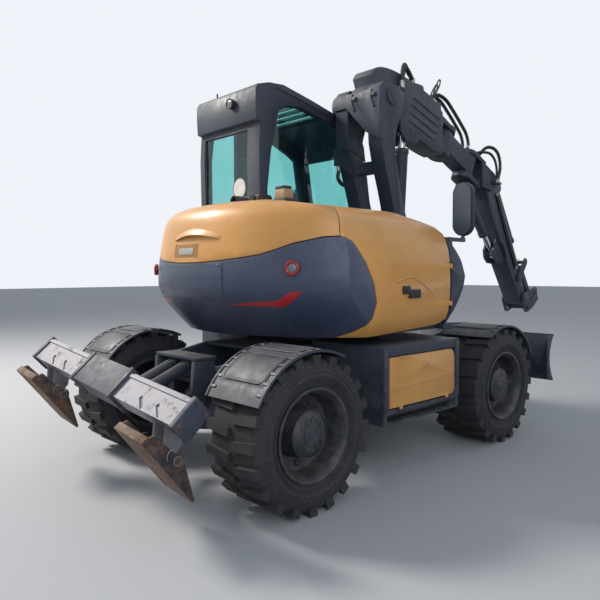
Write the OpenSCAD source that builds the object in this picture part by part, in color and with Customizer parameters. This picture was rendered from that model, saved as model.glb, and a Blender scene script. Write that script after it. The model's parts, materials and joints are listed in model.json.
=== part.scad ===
/* [Wheels and axles] */
// Distance between the front and the rear axle
wheelbase = 2400; // [2300:10:2500]
// Outer diameter of a tyre over its lugs
tyre_d = 1020; // [980:10:1040]
// Width of a tyre
tyre_w = 490; // [440:10:500]
// Distance over the outer faces of the tyres
over_tyres = 2460; // [2440:10:2500]
// Height of a tread lug
lug_h = 26; // [15:1:32]
// Number of lugs in each of the two rows of a tyre
lug_count = 20; // [16:1:24]
// Diameter of the rim over its flanges
rim_d = 612; // [590:2:630]
// Distance from the vehicle's centre plane to a kingpin
kingpin_y = 800; // [790:5:815]
// Air between a mudguard and its tyre
guard_gap = 18; // [12:1:24]
// Thickness of a mudguard
guard_t = 8; // [5:1:10]

/* [Chassis] */
// Distance over the two side plates of the frame
frame_w = 800; // [700:10:820]
// Height of the frame's top plate above the ground
frame_top = 950; // [930:5:955]
// Height of the frame's underside above the ground
frame_bottom = 620; // [600:5:660]
// Place of the slewing axis ahead of the middle of the wheelbase
slew_x = 200; // [150:10:250]
// Length of a side locker
locker_l = 985; // [900:5:990]
// Distance from the centre plane to a locker's outer face
locker_y = 1140; // [1080:5:1160]
// Height of the locker's underside above the ground
locker_bottom = 415; // [380:5:450]
// Height of the locker's top above the ground
locker_top = 985; // [940:5:1000]

/* [Blade] */
// Width of the dozer blade
blade_w = 2400; // [2200:10:2460]
// Height of the blade
blade_h = 470; // [400:10:520]
// Height of the blade's edge above the ground when it is raised
blade_clear = 430; // [380:10:480]

/* [Stabiliser] */
// Distance of the stabiliser's pivot behind the chassis' rear plate
stab_pivot_gap = 182; // [170:2:195]
// Height of the stabiliser's pivot above the ground
stab_pivot_z = 471; // [460:1:480]
// Width of the long face of a stabiliser beam
beam_w = 190; // [160:5:200]
// Depth of a stabiliser beam
beam_d = 130; // [110:5:140]
// Distance from the centre plane to the outer end of a beam
beam_out = 1050; // [1000:10:1100]
// Width of a stabiliser foot
foot_w = 320; // [260:10:360]

/* [Upper body] */
// Radius of the tail about the slewing axis
tail_r = 1540; // [1500:10:1560]
// Distance from the centre plane to the side faces
side_y = 1150; // [1120:5:1160]
// Height of the body's underside above the ground
body_bottom = 1065; // [1062:1:1090]
// Height of the hood's top above the ground
hood_top = 2090; // [2050:5:2110]
// Thickness of the hood and door shells
shell_t = 25; // [15:1:35]
// Air between neighbouring panels
panel_gap = 8; // [6:1:12]

/* [Cab] */
// Place of the cab's rear face behind the middle of the wheelbase
cab_back = 420; // [400:5:430]
// Length of the cab
cab_l = 1520; // [1450:10:1560]
// Distance from the centre plane to the cab's right wall
cab_right = 250; // [245:5:280]
// Width of the cab
cab_w = 900; // [860:5:905]
// Height of the roof above the ground
cab_top = 3220; // [3150:10:3280]
// Thickness of the cab's posts and walls
post_t = 60; // [45:1:75]
// Thickness of the panes
glass_t = 6; // [4:1:8]

/* [Boom] */
// Width of the fork that forms the base boom
fork_w = 545; // [520:5:560]
// Width of one leg of the fork
leg_w = 150; // [130:2:160]
// Place of the boom's centre plane to the right of the vehicle's
boom_off = 132; // [120:2:140]
// Width of the intermediate boom
mid_w = 232; // [200:2:240]
// Width of the dipper
dipper_w = 220; // [180:2:240]
// Diameter of the intermediate boom's cylinder barrel
mid_cyl_d = 135; // [110:1:140]
// Diameter of the other boom cylinder barrels
cyl_d = 110; // [90:1:115]
// Diameter of the main pins
pin_d = 70; // [55:1:80]
// Diameter of the pin that a tool hangs from
tool_pin_d = 60; // [50:1:64]

/* [Hoses and lamps] */
// Diameter of the pressure hoses
hose_d = 32; // [24:1:36]
// Diameter of the pilot hoses
pilot_d = 15; // [10:1:20]
// Diameter of the big hose that arches over the boom
arch_d = 46; // [38:1:50]
// Diameter of the round rear lamps
lamp_d = 96; // [80:2:110]

/* [Hidden] */
// Clearances
run = 0.06;
side_play = 6;
// Wheels
wheel_r = tyre_d/2;
axle_z = wheel_r;
wheel_y = over_tyres/2 - tyre_w/2;
carcass_r = wheel_r - lug_h;
rim_r = rim_d/2;
// Boom pins in the vehicle's long plane: x and height
PIN_A = [860, 1400];
PIN_B = [600, 3130];
PIN_P = [2640, 2580];
PIN_T = [3500, 1190];
SWING_A = [1800, 2925];
SWING_B = [2270, 2725];
swing_tilt = atan2(SWING_A[1] - SWING_B[1], SWING_B[0] - SWING_A[0]);
dipper_l = norm(PIN_T - PIN_P);
dipper_dir = atan2(PIN_T[1] - PIN_P[1], PIN_T[0] - PIN_P[0]);
// Cylinder pins: foot then rod eye
BOOM_CYL = [[1330, 1230], [968, 1900]];
MID_CYL = [[1010, 1640], [1110, 2930]];
DIP_CYL = [[2230, 2480], [2926, 1745]];
fork_l = boom_y() + fork_w/2;
fork_r = boom_y() - fork_w/2;
ROCKER_Q = [1330, 20];
ROCKER_R = [1240, 250];
COUPLER_P = [1700, 270];
BUCKET_F = [190, 235];
// Bore for a tool's pin in the coupler's plates, along and above the dipper's line
TOOL_BORE = [1760, -22];
front_x = wheelbase/2 + 330;
rear_x = -wheelbase/2 - 150;
blade_x = front_x + 590;
// Pins of the blade's linkage: arm and link at the chassis, then at the blade
ARM_C = [front_x - 30, frame_bottom - 60];
ARM_D = ARM_C + [545, 120];
LINK_C = ARM_C + [20, 165];
LINK_D = ARM_D + [20, 165];
BLADE_CYL = [ARM_C + [25, 235], ARM_C + [400, 100]];
// Stabiliser pins and the middle of its crossbeam
STAB_PIVOT = [rear_x - stab_pivot_gap, stab_pivot_z];
STAB_CYL = [[rear_x - 40, frame_top - 90], STAB_PIVOT + [-248, 229]];
BEAM = STAB_PIVOT + [-464, 341];
FOOT_PIN = [-34, -248];
FOOT_Y = [-beam_out + 230, beam_out - 270];
small_r = pin_d*0.36;
function boom_y() = -boom_off;
function arc(cx, cy, r, a0, a1, n = 8) = [for (i = [0:n]) let (a = a0 + (a1 - a0)*i/n) [cx + r*cos(a), cy + r*sin(a)]];
// Point at t on the smooth curve through the points p, and the curve in n steps a stretch
function bend(p, t) = let (m = len(p) - 1, i = min(floor(t), m - 1), u = t - i,
    a = p[max(i - 1, 0)], b = p[i], c = p[i + 1], d = p[min(i + 2, m)])
    (2*b + (c - a)*u + (2*a - 5*b + 4*c - d)*u*u + (3*b - a - 3*c + d)*u*u*u)/2;
function smooth(p, n) = [for (i = [0:(len(p) - 1)*n]) bend(p, i/n)];
// Sideways directions along a curve with the tangents t, each turned as little as can be from the last
function carried(t, i, u) = i == len(t) ? [] : let (v = u - (u*t[i])*t[i], w = v/norm(v)) concat([w], carried(t, i + 1, w));

// Shapes that repeat

// Plate in the long vertical plane, from y0 to y1, with its outline in x and height
module slab(y0, y1, pts) {
    translate([0, y1, 0]) rotate([90, 0, 0]) linear_extrude(y1 - y0) polygon(pts);
}

// Cylinder across the vehicle at x and height, from y0 to y1
module cross(p, r, y0, y1, fn = 48) {
    translate([p[0], y1, p[1]]) rotate([90, 0, 0]) cylinder(r = r, h = y1 - y0, $fn = fn);
}

// Box given by its two corners
module box(a, b) {
    translate(a) cube(b - a);
}

// Places children at p with their x axis towards q, both in x and height
module aim(p, q) {
    translate([p[0], 0, p[1]]) rotate([0, -atan2(q[1] - p[1], q[0] - p[0]), 0]) children();
}

// Hose of diameter d along a smooth curve through the points p
module hose(p, d, steps = 3) {
    c = smooth(p, steps);
    m = len(c) - 1;
    sides = 8;
    n = len(p) - 1;
    t = [for (i = [0:m]) let (v = i == 0 ? p[1] - p[0] : i == m ? p[n] - p[n - 1] : c[i + 1] - c[i - 1]) v/norm(v)];
    u = carried(t, 0, [0.31, 0.83, 0.47]);
    ring = [for (i = [0:m]) for (k = [0:sides - 1]) let (w = cross(t[i], u[i]))
        c[i] + d/2*(cos(k*360/sides)*u[i] + sin(k*360/sides)*w)];
    skin = [for (i = [0:m - 1]) for (k = [0:sides - 1]) let (a = i*sides + k, b = i*sides + (k + 1)%sides)
        each [[a, a + sides, b], [b, a + sides, b + sides]]];
    polyhedron(points = ring, faces = concat(skin, [[for (k = [0:sides - 1]) k]],
        [[for (k = [sides - 1:-1:0]) m*sides + k]]));
}

// Hollow barrel of a hydraulic cylinder with its foot eye at the origin
module barrel(y, length, d, rod_d, eye_w, eye_r) {
    difference() {
        union() {
            cross([0, 0], eye_r, y - eye_w/2, y + eye_w/2);
            box([0, y - eye_w/2, -eye_r*0.6], [eye_r + 20, y + eye_w/2, eye_r*0.6]);
            translate([eye_r + 14, y, 0]) rotate([0, 90, 0]) cylinder(d = d, h = length - eye_r - 14, $fn = 40);
            translate([length - 45, y, 0]) rotate([0, 90, 0]) cylinder(d = d + 14, h = 45, $fn = 40);
            translate([eye_r + 42, y, d/2 - 12]) cylinder(d = 34, h = 20, $fn = 20);
            translate([length - 75, y, d/2 - 12]) cylinder(d = 34, h = 20, $fn = 20);
        }
        translate([eye_r + 25, y, 0]) rotate([0, 90, 0]) cylinder(d = rod_d + 0.4, h = length, $fn = 32);
        cross([0, 0], small_r, y - eye_w, y + eye_w);
    }
}

// Rod with its eye at x = reach, and its inner end at x = inner
module rod(y, inner, reach, rod_d, eye_w, eye_r) {
    translate([inner, y, 0]) rotate([0, 90, 0]) cylinder(d = rod_d, h = reach - inner - eye_r*0.6, $fn = 32);
    cross([reach, 0], eye_r, y - eye_w/2, y + eye_w/2);
}

// Chassis

module chassis_frame() color("#23262c") {
    arch_h = 60;
    difference() {
        union() {
            for (s = [-1, 1]) slab(s*frame_w/2 - 15, s*frame_w/2 + 15, [
                [rear_x, frame_bottom + 120], [-wheelbase/2 - 160, frame_bottom + arch_h],
                [-wheelbase/2 + 180, frame_bottom + arch_h], [-760, frame_bottom - 60],
                [760, frame_bottom - 60], [wheelbase/2 - 180, frame_bottom + arch_h],
                [wheelbase/2 + 160, frame_bottom + arch_h], [front_x, frame_bottom - 20],
                [front_x, frame_top - 90], [wheelbase/2 - 300, frame_top],
                [-wheelbase/2 + 300, frame_top], [rear_x, frame_top - 80]]);
            box([-wheelbase/2 + 300, -frame_w/2, frame_top - 25], [wheelbase/2 - 300, frame_w/2, frame_top]);
            box([-700, -frame_w/2, frame_bottom - 60], [700, frame_w/2, frame_bottom - 35]);
            box([-700, -frame_w/2, frame_bottom - 60], [-675, frame_w/2, frame_top]);
            box([675, -frame_w/2, frame_bottom - 60], [700, frame_w/2, frame_top]);
            box([rear_x + 14, -frame_w/2, frame_top - 200], [rear_x + 39, frame_w/2, frame_top - 85]);
            box([front_x - 90, -frame_w/2, frame_bottom + 20], [front_x - 65, frame_w/2, frame_top - 80]);
            translate([slew_x, 0, frame_top - 10]) cylinder(r = 480, h = 60, $fn = 96);
        }
        translate([slew_x, 0, frame_top - 40]) cylinder(r = 380, h = 120, $fn = 96);
    }
    // Axle saddles under the frame
    for (x = [-wheelbase/2, wheelbase/2]) for (s = [-1, 1])
        box([x - 110, s*300 - 40, axle_z + 80.3], [x + 110, s*300 + 40, frame_bottom + arch_h + 40]);
    for (x = [-wheelbase/2, wheelbase/2])
        box([x - 110, -frame_w/2, frame_bottom + arch_h + 20], [x + 110, frame_w/2, frame_bottom + arch_h + 50]);
    // Blade brackets at the front, the link's clevis and the lugs of the cylinders' feet
    for (s = [-1, 1]) difference() {
        slab(s*330 - 20, s*330 + 20, concat([[ARM_C[0] - 120, frame_bottom - 20]], arc(ARM_C[0], ARM_C[1], 58, 220, 370, 8),
            [[front_x - 5, 700], [ARM_C[0] - 120, 700]]));
        cross(ARM_C, pin_d/2, s*330 - 30, s*330 + 30);
    }
    for (e = [-1, 1]) slab(e*38 - 10, e*38 + 10, concat([[front_x - 80, LINK_C[1] - 42]], arc(LINK_C[0], LINK_C[1], 42, -90, 90, 8), [[front_x - 80, LINK_C[1] + 42]]));
    cross(LINK_C, small_r - run, -46, 46);
    for (s = [-1, 1]) {
        for (e = [-1, 1]) slab(s*190 + e*42 - 8, s*190 + e*42 + 8, concat([[front_x - 80, BLADE_CYL[0][1] - 44]],
            arc(BLADE_CYL[0][0], BLADE_CYL[0][1], 44, -90, 90, 8), [[front_x - 80, BLADE_CYL[0][1] + 44]]));
        cross(BLADE_CYL[0], small_r - run, s*190 - 48, s*190 + 48);
    }
    // Stabiliser brackets at the rear, with the lugs of the cylinders' feet
    for (s = [-1, 1]) difference() {
        slab(s*250 - 18, s*250 + 18, concat([[rear_x + 60, 740]], [[rear_x - 50, 640]], arc(STAB_PIVOT[0], STAB_PIVOT[1], 62, 300, 140, 8),
            [[rear_x - 130, 700], [rear_x - 110, 900], [rear_x + 60, 900]]));
        cross(STAB_PIVOT, pin_d/2, s*250 - 30, s*250 + 30);
    }
    box([rear_x - 105, -268, 905], [rear_x + 80, 268, 925]);
    for (s = [-1, 1]) {
        for (e = [-1, 1]) slab(s*90 + e*42 - 8, s*90 + e*42 + 8, concat([[rear_x + 20, 910]], arc(STAB_CYL[0][0], STAB_CYL[0][1], 46, 100, 260, 8), [[rear_x + 20, 810]]));
        cross(STAB_CYL[0], small_r - run, s*90 - 48, s*90 + 48);
    }
}

module axle(x) {
    translate([x, 0, axle_z]) {
        rotate([90, 0, 0]) rotate_extrude($fn = 48)
            polygon([[0, -170], [120, -150], [165, -90], [180, 0], [165, 90], [120, 150], [0, 170]]);
        rotate([90, 0, 0]) cylinder(r = 80, h = 2*(kingpin_y - 85), center = true, $fn = 40);
        for (s = [-1, 1]) difference() {
            union() {
                translate([0, s*kingpin_y, -125]) cylinder(r = 60, h = 40, $fn = 40);
                translate([0, s*kingpin_y, 85]) cylinder(r = 60, h = 40, $fn = 40);
                translate([-60, s*(kingpin_y - 60) - 45, -125]) cube([120, 90, 250]);
            }
            translate([0, s*kingpin_y, -84.5]) cylinder(r = 96, h = 169, $fn = 48);
            translate([0, s*kingpin_y, -130]) cylinder(r = 28 + run, h = 260, $fn = 40);
        }
    }
}
module axles() color("#1f2226") for (x = [-wheelbase/2, wheelbase/2]) axle(x);

// Locker open at its outer side, with a step below the lid
module locker(s) {
    x0 = -435;
    x1 = x0 + locker_l;
    y_in = frame_w/2 + 15.3;
    t = 12;
    step = 95;
    difference() {
        box([x0, y_in, locker_bottom], [x1, locker_y, locker_top]);
        box([x0 + 60, y_in + t, locker_bottom + step + t], [x1 - 60, locker_y + 10, locker_top - 70]);
        box([x0 + 40, locker_y - 120, locker_bottom + t], [x1 - 40, locker_y + 10, locker_bottom + step - 20]);
        translate([slew_x, 0, frame_top - 18]) cylinder(r = 488, h = 200, $fn = 96);
    }
    // Rolled uprights at both ends and the treads of the step
    for (x = [x0 + 24, x1 - 24]) translate([x, locker_y - 4, locker_bottom + step]) cylinder(r = 22, h = locker_top - locker_bottom - step - 12, $fn = 32);
    for (i = [0:8]) box([x0 + 50 + i*102, locker_y - 110, locker_bottom + t - 1], [x0 + 92 + i*102, locker_y - 8, locker_bottom + t + 4]);
    // Hinge pins below the lid
    for (x = [x0 + 160, x1 - 220]) {
        for (e = [0, 52]) box([x + e, locker_y - 5, locker_bottom + 88], [x + e + 8, locker_y + 15, locker_bottom + 114.5]);
        translate([x, locker_y + 9, locker_bottom + 109]) rotate([0, 90, 0]) cylinder(r = 4.5, h = 60, $fn = 20);
    }
}
module side_lockers() color("#23262c") for (s = [0, 1]) mirror([0, s, 0]) locker(1);
module locker_lid() {
    x0 = -435;
    x1 = x0 + locker_l;
    // Lid with one rounded and one cut corner
    slab(locker_y - 20, locker_y + 4, concat([[x0 + 60 + panel_gap, locker_bottom + 121], [x1 - 100, locker_bottom + 121], [x1 - 60 - panel_gap, locker_bottom + 160]],
        arc(x1 - 130 - panel_gap, locker_top - 148, 70, 0, 90, 6), [[x0 + 60 + panel_gap, locker_top - 78]]));
    // Pressed band across the lid
    slab(locker_y + 3, locker_y + 9, [[x0 + 90, locker_bottom + 250], [x1 - 90, locker_bottom + 285], [x1 - 90, locker_bottom + 300], [x0 + 90, locker_bottom + 265]]);
    box([x0 + 180, locker_y + 3, locker_top - 90], [x0 + 300, locker_y + 16, locker_top - 74]);
    cross([x0 + 500, locker_top - 160], 22, locker_y - 10, locker_y + 12, 24);
    for (x = [x0 + 160, x1 - 220]) difference() {
        union() {
            box([x + 14, locker_y - 5, locker_bottom + 117], [x + 46, locker_y + 17, locker_bottom + 130]);
            translate([x + 14, locker_y + 9, locker_bottom + 109]) rotate([0, 90, 0]) cylinder(r = 9, h = 32, $fn = 24);
            box([x + 14, locker_y + 1, locker_bottom + 109], [x + 46, locker_y + 17, locker_bottom + 118]);
        }
        translate([x, locker_y + 9, locker_bottom + 109]) rotate([0, 90, 0]) cylinder(r = 4.5 + run, h = 60, $fn = 20);
    }
}
module locker_lid_right() color("#d9952b") mirror([0, 1, 0]) locker_lid();
module locker_lid_left() color("#d9952b") locker_lid();

// Knuckle that turns about its kingpin inside the rim and carries the hub
module knuckle(x, s) translate([x, s*kingpin_y, axle_z]) mirror([0, s > 0 ? 0 : 1, 0]) {
    cylinder(r = 70, h = 168, center = true, $fn = 40);
    cylinder(r = 28, h = 248, center = true, $fn = 40);
    rotate([-90, 0, 0]) cylinder(r = 66, h = wheel_y - kingpin_y - 36, $fn = 40);
    rotate([-90, 0, 0]) cylinder(r = 60, h = wheel_y - kingpin_y + 50, $fn = 40);
    translate([-150, -18, -30]) cube([150, 36, 40]);
    // Arm and post that carry the mudguard on the wheel's inner side
    post = kingpin_y - wheel_y + tyre_w/2;
    translate([60, -20, -30]) cube([160, 40, 40]);
    translate([170, -post - 28, -30]) cube([50, post + 40, 40]);
    slab(-post - 28, -post - 14, [[170, -30], [220, -30], [220, wheel_r + guard_gap - 44], [170, wheel_r + guard_gap - 24]]);
}
// Mudguard over one wheel, from angle a0 to a1 about the hub
module mudguard(x, s, a0, a1) {
    r = wheel_r + guard_gap;
    w = tyre_w + 33;
    pts = concat(arc(0, 0, r, a0, a1, 16), arc(0, 0, r + guard_t, a1, a0, 16));
    y = s*(wheel_y + tyre_w/2 + 5 - w/2);
    translate([x, y + w/2, axle_z]) rotate([90, 0, 0]) linear_extrude(w) polygon(pts);
    // Pressed panel in the middle and rolled edges
    m = (a0 + a1)/2;
    for (q = [[w - 120, a0 + 14, m - 3, 6], [w - 120, m + 3, a1 - 14, 6]]) translate([x, y + q[0]/2, axle_z]) rotate([90, 0, 0])
        linear_extrude(q[0]) polygon(concat(arc(0, 0, r + guard_t - 1, q[1], q[2], 6), arc(0, 0, r + guard_t + q[3], q[2] - 1.5, q[1] + 1.5, 6)));
    for (e = [-1, 1]) translate([x, y + e*(w/2 - 7) + 7, axle_z]) rotate([90, 0, 0])
        linear_extrude(14) polygon(concat(arc(0, 0, r + guard_t - 1, a0, a1, 16), arc(0, 0, r + guard_t + 8, a1, a0, 16)));
}
module knuckle_fl() color("#23262c") { knuckle(wheelbase/2, 1); mudguard(wheelbase/2, 1, 28, 122); }
module knuckle_fr() color("#23262c") { knuckle(wheelbase/2, -1); mudguard(wheelbase/2, -1, 28, 122); }
module knuckle_rl() color("#23262c") { knuckle(-wheelbase/2, 1); mudguard(-wheelbase/2, 1, 62, 152); }
module knuckle_rr() color("#23262c") { knuckle(-wheelbase/2, -1); mudguard(-wheelbase/2, -1, 62, 152); }

// Deep rim with its disc and planetary hub, outer side towards +y
module rim_shape() {
    half = tyre_w/2 - 15;
    rotate([-90, 0, 0]) difference() {
        rotate_extrude($fn = 96) polygon([[rim_r - 38, -half], [rim_r, -half], [rim_r, -half + 14], [rim_r - 22, -half + 34],
            [rim_r - 36, -20], [rim_r - 22, half - 34], [rim_r, half - 14], [rim_r, half], [rim_r - 20, half],
            [rim_r - 40, half - 40], [rim_r - 54, 70], [170, 40], [165, 60], [150, 175], [110, 195], [0, 195],
            [0, 52], [60 + run, 52], [60 + run, 10], [168, 10], [rim_r - 62, 40], [rim_r - 50, -30]]);
    }
}
module rim(x, s) translate([x, s*wheel_y, axle_z]) mirror([0, s > 0 ? 0 : 1, 0]) rim_shape();
module rim_fl() color("#2c3038") rim(wheelbase/2, 1);
module rim_fr() color("#2c3038") rim(wheelbase/2, -1);
module rim_rl() color("#2c3038") rim(-wheelbase/2, 1);
module rim_rr() color("#2c3038") rim(-wheelbase/2, -1);

// Tyre with two rows of slanted lugs
module tyre_shape() {
    h = tyre_w/2;
    rotate([-90, 0, 0]) rotate_extrude($fn = 72) polygon([[rim_r + 0.3, -h + 30], [rim_r + 60, -h + 6], [carcass_r - 110, -h],
        [carcass_r - 40, -h + 12], [carcass_r - 8, -h + 40], [carcass_r, -h + 90], [carcass_r, h - 90], [carcass_r - 8, h - 40],
        [carcass_r - 40, h - 12], [carcass_r - 110, h], [rim_r + 60, h - 6], [rim_r + 0.3, h - 30]]);
    // Lugs: row, side of the tyre
    for (row = [-1, 1]) for (i = [0:lug_count - 1])
        rotate([0, (i + (row > 0 ? 0.5 : 0))*360/lug_count, 0])
            lug(row);
}
module lug(row) {
    h = tyre_w/2;
    reach = 48;
    translate([0, 0, carcass_r - 34]) linear_extrude(sqrt(wheel_r*wheel_r - reach*reach) - carcass_r + 34)
        polygon([[-34, row*12], [20, row*12], [reach, row*(h - 16)], [-18, row*(h - 16)]]);
}
module tyre(x, s) translate([x, s*wheel_y, axle_z]) tyre_shape();
module tyre_fl() color("#1b1c1e") tyre(wheelbase/2, 1);
module tyre_fr() color("#1b1c1e") tyre(wheelbase/2, -1);
module tyre_rl() color("#1b1c1e") tyre(-wheelbase/2, 1);
module tyre_rr() color("#1b1c1e") tyre(-wheelbase/2, -1);

// Blade: a curved mouldboard carried upright by two arms and a link
module blade() color("#1f2a30") {
    z0 = blade_clear;
    z1 = blade_clear + blade_h;
    bow = 90;
    front = [for (i = [0:8]) [blade_x + 20 + bow*pow(2*i/8 - 1, 2), z0 + (z1 - z0)*i/8]];
    back = [for (i = [8:-1:0]) [blade_x - 5 + bow*pow(2*i/8 - 1, 2), z0 + (z1 - z0)*i/8]];
    slab(-blade_w/2, blade_w/2, concat(front, back));
    for (s = [-1, 1]) slab(s*(blade_w/2 - 9) - 9, s*(blade_w/2 - 9) + 9, concat([[blade_x - 30, z0 + 30], [blade_x - 30, z1 - 40]],
        [for (i = [8:-1:0]) [blade_x + 14 + bow*pow(2*i/8 - 1, 2), z0 + (z1 - z0)*i/8]]));
    box([blade_x - 20, 300 - blade_w/2, z0 + 150], [blade_x + 5, blade_w/2 - 300, z1 - 150]);
    for (s = [-1, 1]) for (e = [-1, 1]) difference() {
        slab(s*280 + e*38 - 10, s*280 + e*38 + 10, concat([[blade_x + 8, ARM_D[1] + 70]], arc(ARM_D[0], ARM_D[1], 46, 110, 250, 6), [[blade_x + 8, ARM_D[1] - 70]]));
        cross(ARM_D, small_r, s*280 - 60, s*280 + 60);
    }
    for (e = [-1, 1]) difference() {
        slab(e*38 - 10, e*38 + 10, concat([[blade_x + 70, LINK_D[1] + 24]], arc(LINK_D[0], LINK_D[1], 42, 110, 250, 6), [[blade_x + 30, LINK_D[1] - 60]]));
        cross(LINK_D, small_r, -60, 60);
    }
}
module link_bar(y0, y1, c, d, r0, r1) aim(c, d) slab(y0, y1, concat(arc(0, 0, r0, 90, 270, 8), arc(norm(d - c), 0, r1, -90, 90, 8)));
module blade_arms() color("#23262c") {
    for (s = [-1, 1]) {
        link_bar(s*280 - 22, s*280 + 22, ARM_C, ARM_D, 50, 42);
        for (e = [-1, 1]) slab(s*190 + e*42 - 8, s*190 + e*42 + 8, [BLADE_CYL[1] + [-50, -90], BLADE_CYL[1] + [50, -90], BLADE_CYL[1] + [38, 30], BLADE_CYL[1] + [-38, 30]]);
        cross(ARM_C, pin_d/2 - run, s*280 + (s > 0 ? 20 : -74), s*280 + (s > 0 ? 74 : -20));
        cross(ARM_D, small_r - run, s*280 - 50, s*280 + 50);
    }
    cross(BLADE_CYL[1] + [0, -82], 32, -290, 290, 32);
}
module blade_link() color("#23262c") {
    difference() {
        link_bar(-20, 20, LINK_C, LINK_D, 38, 32);
        cross(LINK_C, small_r, -40, 40);
    }
    cross(LINK_D, small_r - run, -50, 50);
}
module blade_barrels() color("#23262c") for (s = [-1, 1]) aim(BLADE_CYL[0], BLADE_CYL[1]) barrel(s*190, 310, 80, 45, 60, 42);
module blade_rods() color("#b9bcc0") for (s = [-1, 1]) aim(BLADE_CYL[0], BLADE_CYL[1])
    rod(s*190, 95, norm(BLADE_CYL[1] - BLADE_CYL[0]), 45, 60, 36);

// Stabiliser: its crossbeam hangs a few degrees out of level
stab_roll = 5.2;
beam_turn = 47;
module rolled() translate([0, 0, BEAM[1]]) rotate([stab_roll, 0, 0]) translate([0, 0, -BEAM[1]]) children();
module beam_at(c, y0, y1, w, d) {
    translate([c[0], y1, c[1]]) rotate([90, 0, 0]) rotate([0, 0, -beam_turn]) linear_extrude(y1 - y0) square([d, w], center = true);
}
module in_beam(g) translate([BEAM[0], g[1], BEAM[1]]) rotate([90, 0, 0]) rotate([0, 0, -beam_turn]) children();
module stabiliser_frame() color("#22304a") {
    // Sleeve between the two beams, with a collar at each mouth
    rolled() {
        beam_at(BEAM, -330, 245, beam_w + 30, beam_d + 30);
        for (y = [-330, 215]) beam_at(BEAM, y, y + 30, beam_w + 46, beam_d + 46);
    }
    for (s = [-1, 1]) slab(s*206 - 20, s*206 + 20, concat(arc(STAB_PIVOT[0], STAB_PIVOT[1], 60, -130, 50, 8),
        [BEAM + [110, 60], BEAM + [40, 40], BEAM + [20, -80], BEAM + [90, -110]]));
    for (s = [-1, 1]) cross(STAB_PIVOT, pin_d/2 - run, s*206 + (s > 0 ? 10 : -68), s*206 + (s > 0 ? 68 : -10));
    // Tube and ears of the cylinders' rod eyes
    cross(STAB_CYL[1] + [-36, -72], 32, -210, 210, 32);
    for (s = [-1, 1]) for (e = [-1, 1]) slab(s*90 + e*42 - 8, s*90 + e*42 + 8, [STAB_CYL[1] + [-70, -74], STAB_CYL[1] + [0, -88], STAB_CYL[1] + [36, 0], STAB_CYL[1] + [10, 36], STAB_CYL[1] + [-40, 30]]);
}
module stabiliser_beams() color("#8f8a84") rolled() {
    for (g = [[245.3, beam_out - 60], [-beam_out, -330.3]]) difference() {
        union() {
            beam_at(BEAM, g[0], g[1], beam_w, beam_d);
            // Rail along the ridge and a collar at the outer end
            in_beam(g) translate([-beam_d/2 - 10, beam_w/2 - 34, 0]) cube([12, 22, g[1] - g[0]]);
            if (g[0] < 0) in_beam([g[0], g[0] + 26]) translate([-beam_d/2 - 8, -beam_w/2 - 8, 0]) cube([beam_d + 16, beam_w + 16, 26]);
            else in_beam([g[1] - 26, g[1]]) translate([-beam_d/2 - 8, -beam_w/2 - 8, 0]) cube([beam_d + 16, beam_w + 16, 26]);
        }
        // Two slanted slots in the rear face
        for (f = [0.35, 0.62]) in_beam(g) translate([-beam_d/2 - 2, -30, (g[1] - g[0])*f]) rotate([35, 0, 0]) cube([12, 26, 110]);
    }
    // Lugs that carry the feet
    for (y = FOOT_Y) for (e = [-1, 1]) difference() {
        slab(y + e*62 - 12, y + e*62 + 12, concat([BEAM + [-60, -40], BEAM + [60, -40], BEAM + [40, -200]],
            arc(BEAM[0] + FOOT_PIN[0], BEAM[1] + FOOT_PIN[1], 38, 10, -190, 10)));
        cross(BEAM + FOOT_PIN, small_r, y - 100, y + 100);
    }
}
// Foot with a slanted sole and side plates
module foot(y) rolled() {
    c = BEAM;
    slab(y - foot_w/2, y + foot_w/2, [c + [-266, -102], c + [-226, -72], c + [92, -509], c + [80, -529]]);
    for (e = [-1, 1]) slab(y + e*(foot_w/2 - 9) - 9, y + e*(foot_w/2 - 9) + 9, [c + [-247, -89], c + [-182, -71], c + [-64, -193], c + [0, -230], c + [88, -509]]);
    cross(c + FOOT_PIN, small_r - run, y - foot_w/2 + 5, y + foot_w/2 - 5);
}
module stabiliser_foot_left() color("#8a6a52") foot(FOOT_Y[1]);
module stabiliser_foot_right() color("#8a6a52") foot(FOOT_Y[0]);
module stabiliser_barrels() color("#23262c") for (s = [-1, 1]) aim(STAB_CYL[0], STAB_CYL[1]) barrel(s*90, 365, 90, 50, 60, 45);
module stabiliser_rods() color("#b9bcc0") for (s = [-1, 1]) aim(STAB_CYL[0], STAB_CYL[1])
    rod(s*90, 75, norm(STAB_CYL[1] - STAB_CYL[0]), 50, 60, 38);

// Upper body: a revolved tail cut by a cross-section that runs the length of the body
function tail_profile(t) = [for (p = smooth([[-260, 0], [-68, 215], [0, 365], [-8, 545], [-30, 700], [-65, 865], [-110, 935], [-190, 980], [-340, 1005], [-640, 1025]], 2))
    [tail_r + p[0] - t, body_bottom + p[1] + (p[1] > 900 ? -t : 0)]];
module tail_solid(t) {
    translate([slew_x, 0, 0]) rotate_extrude($fn = 120)
        polygon(concat([[0, body_bottom - 1]], [[tail_r - 260 - t, body_bottom - 1]], tail_profile(t), [[0, hood_top - t]]));
}
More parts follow.
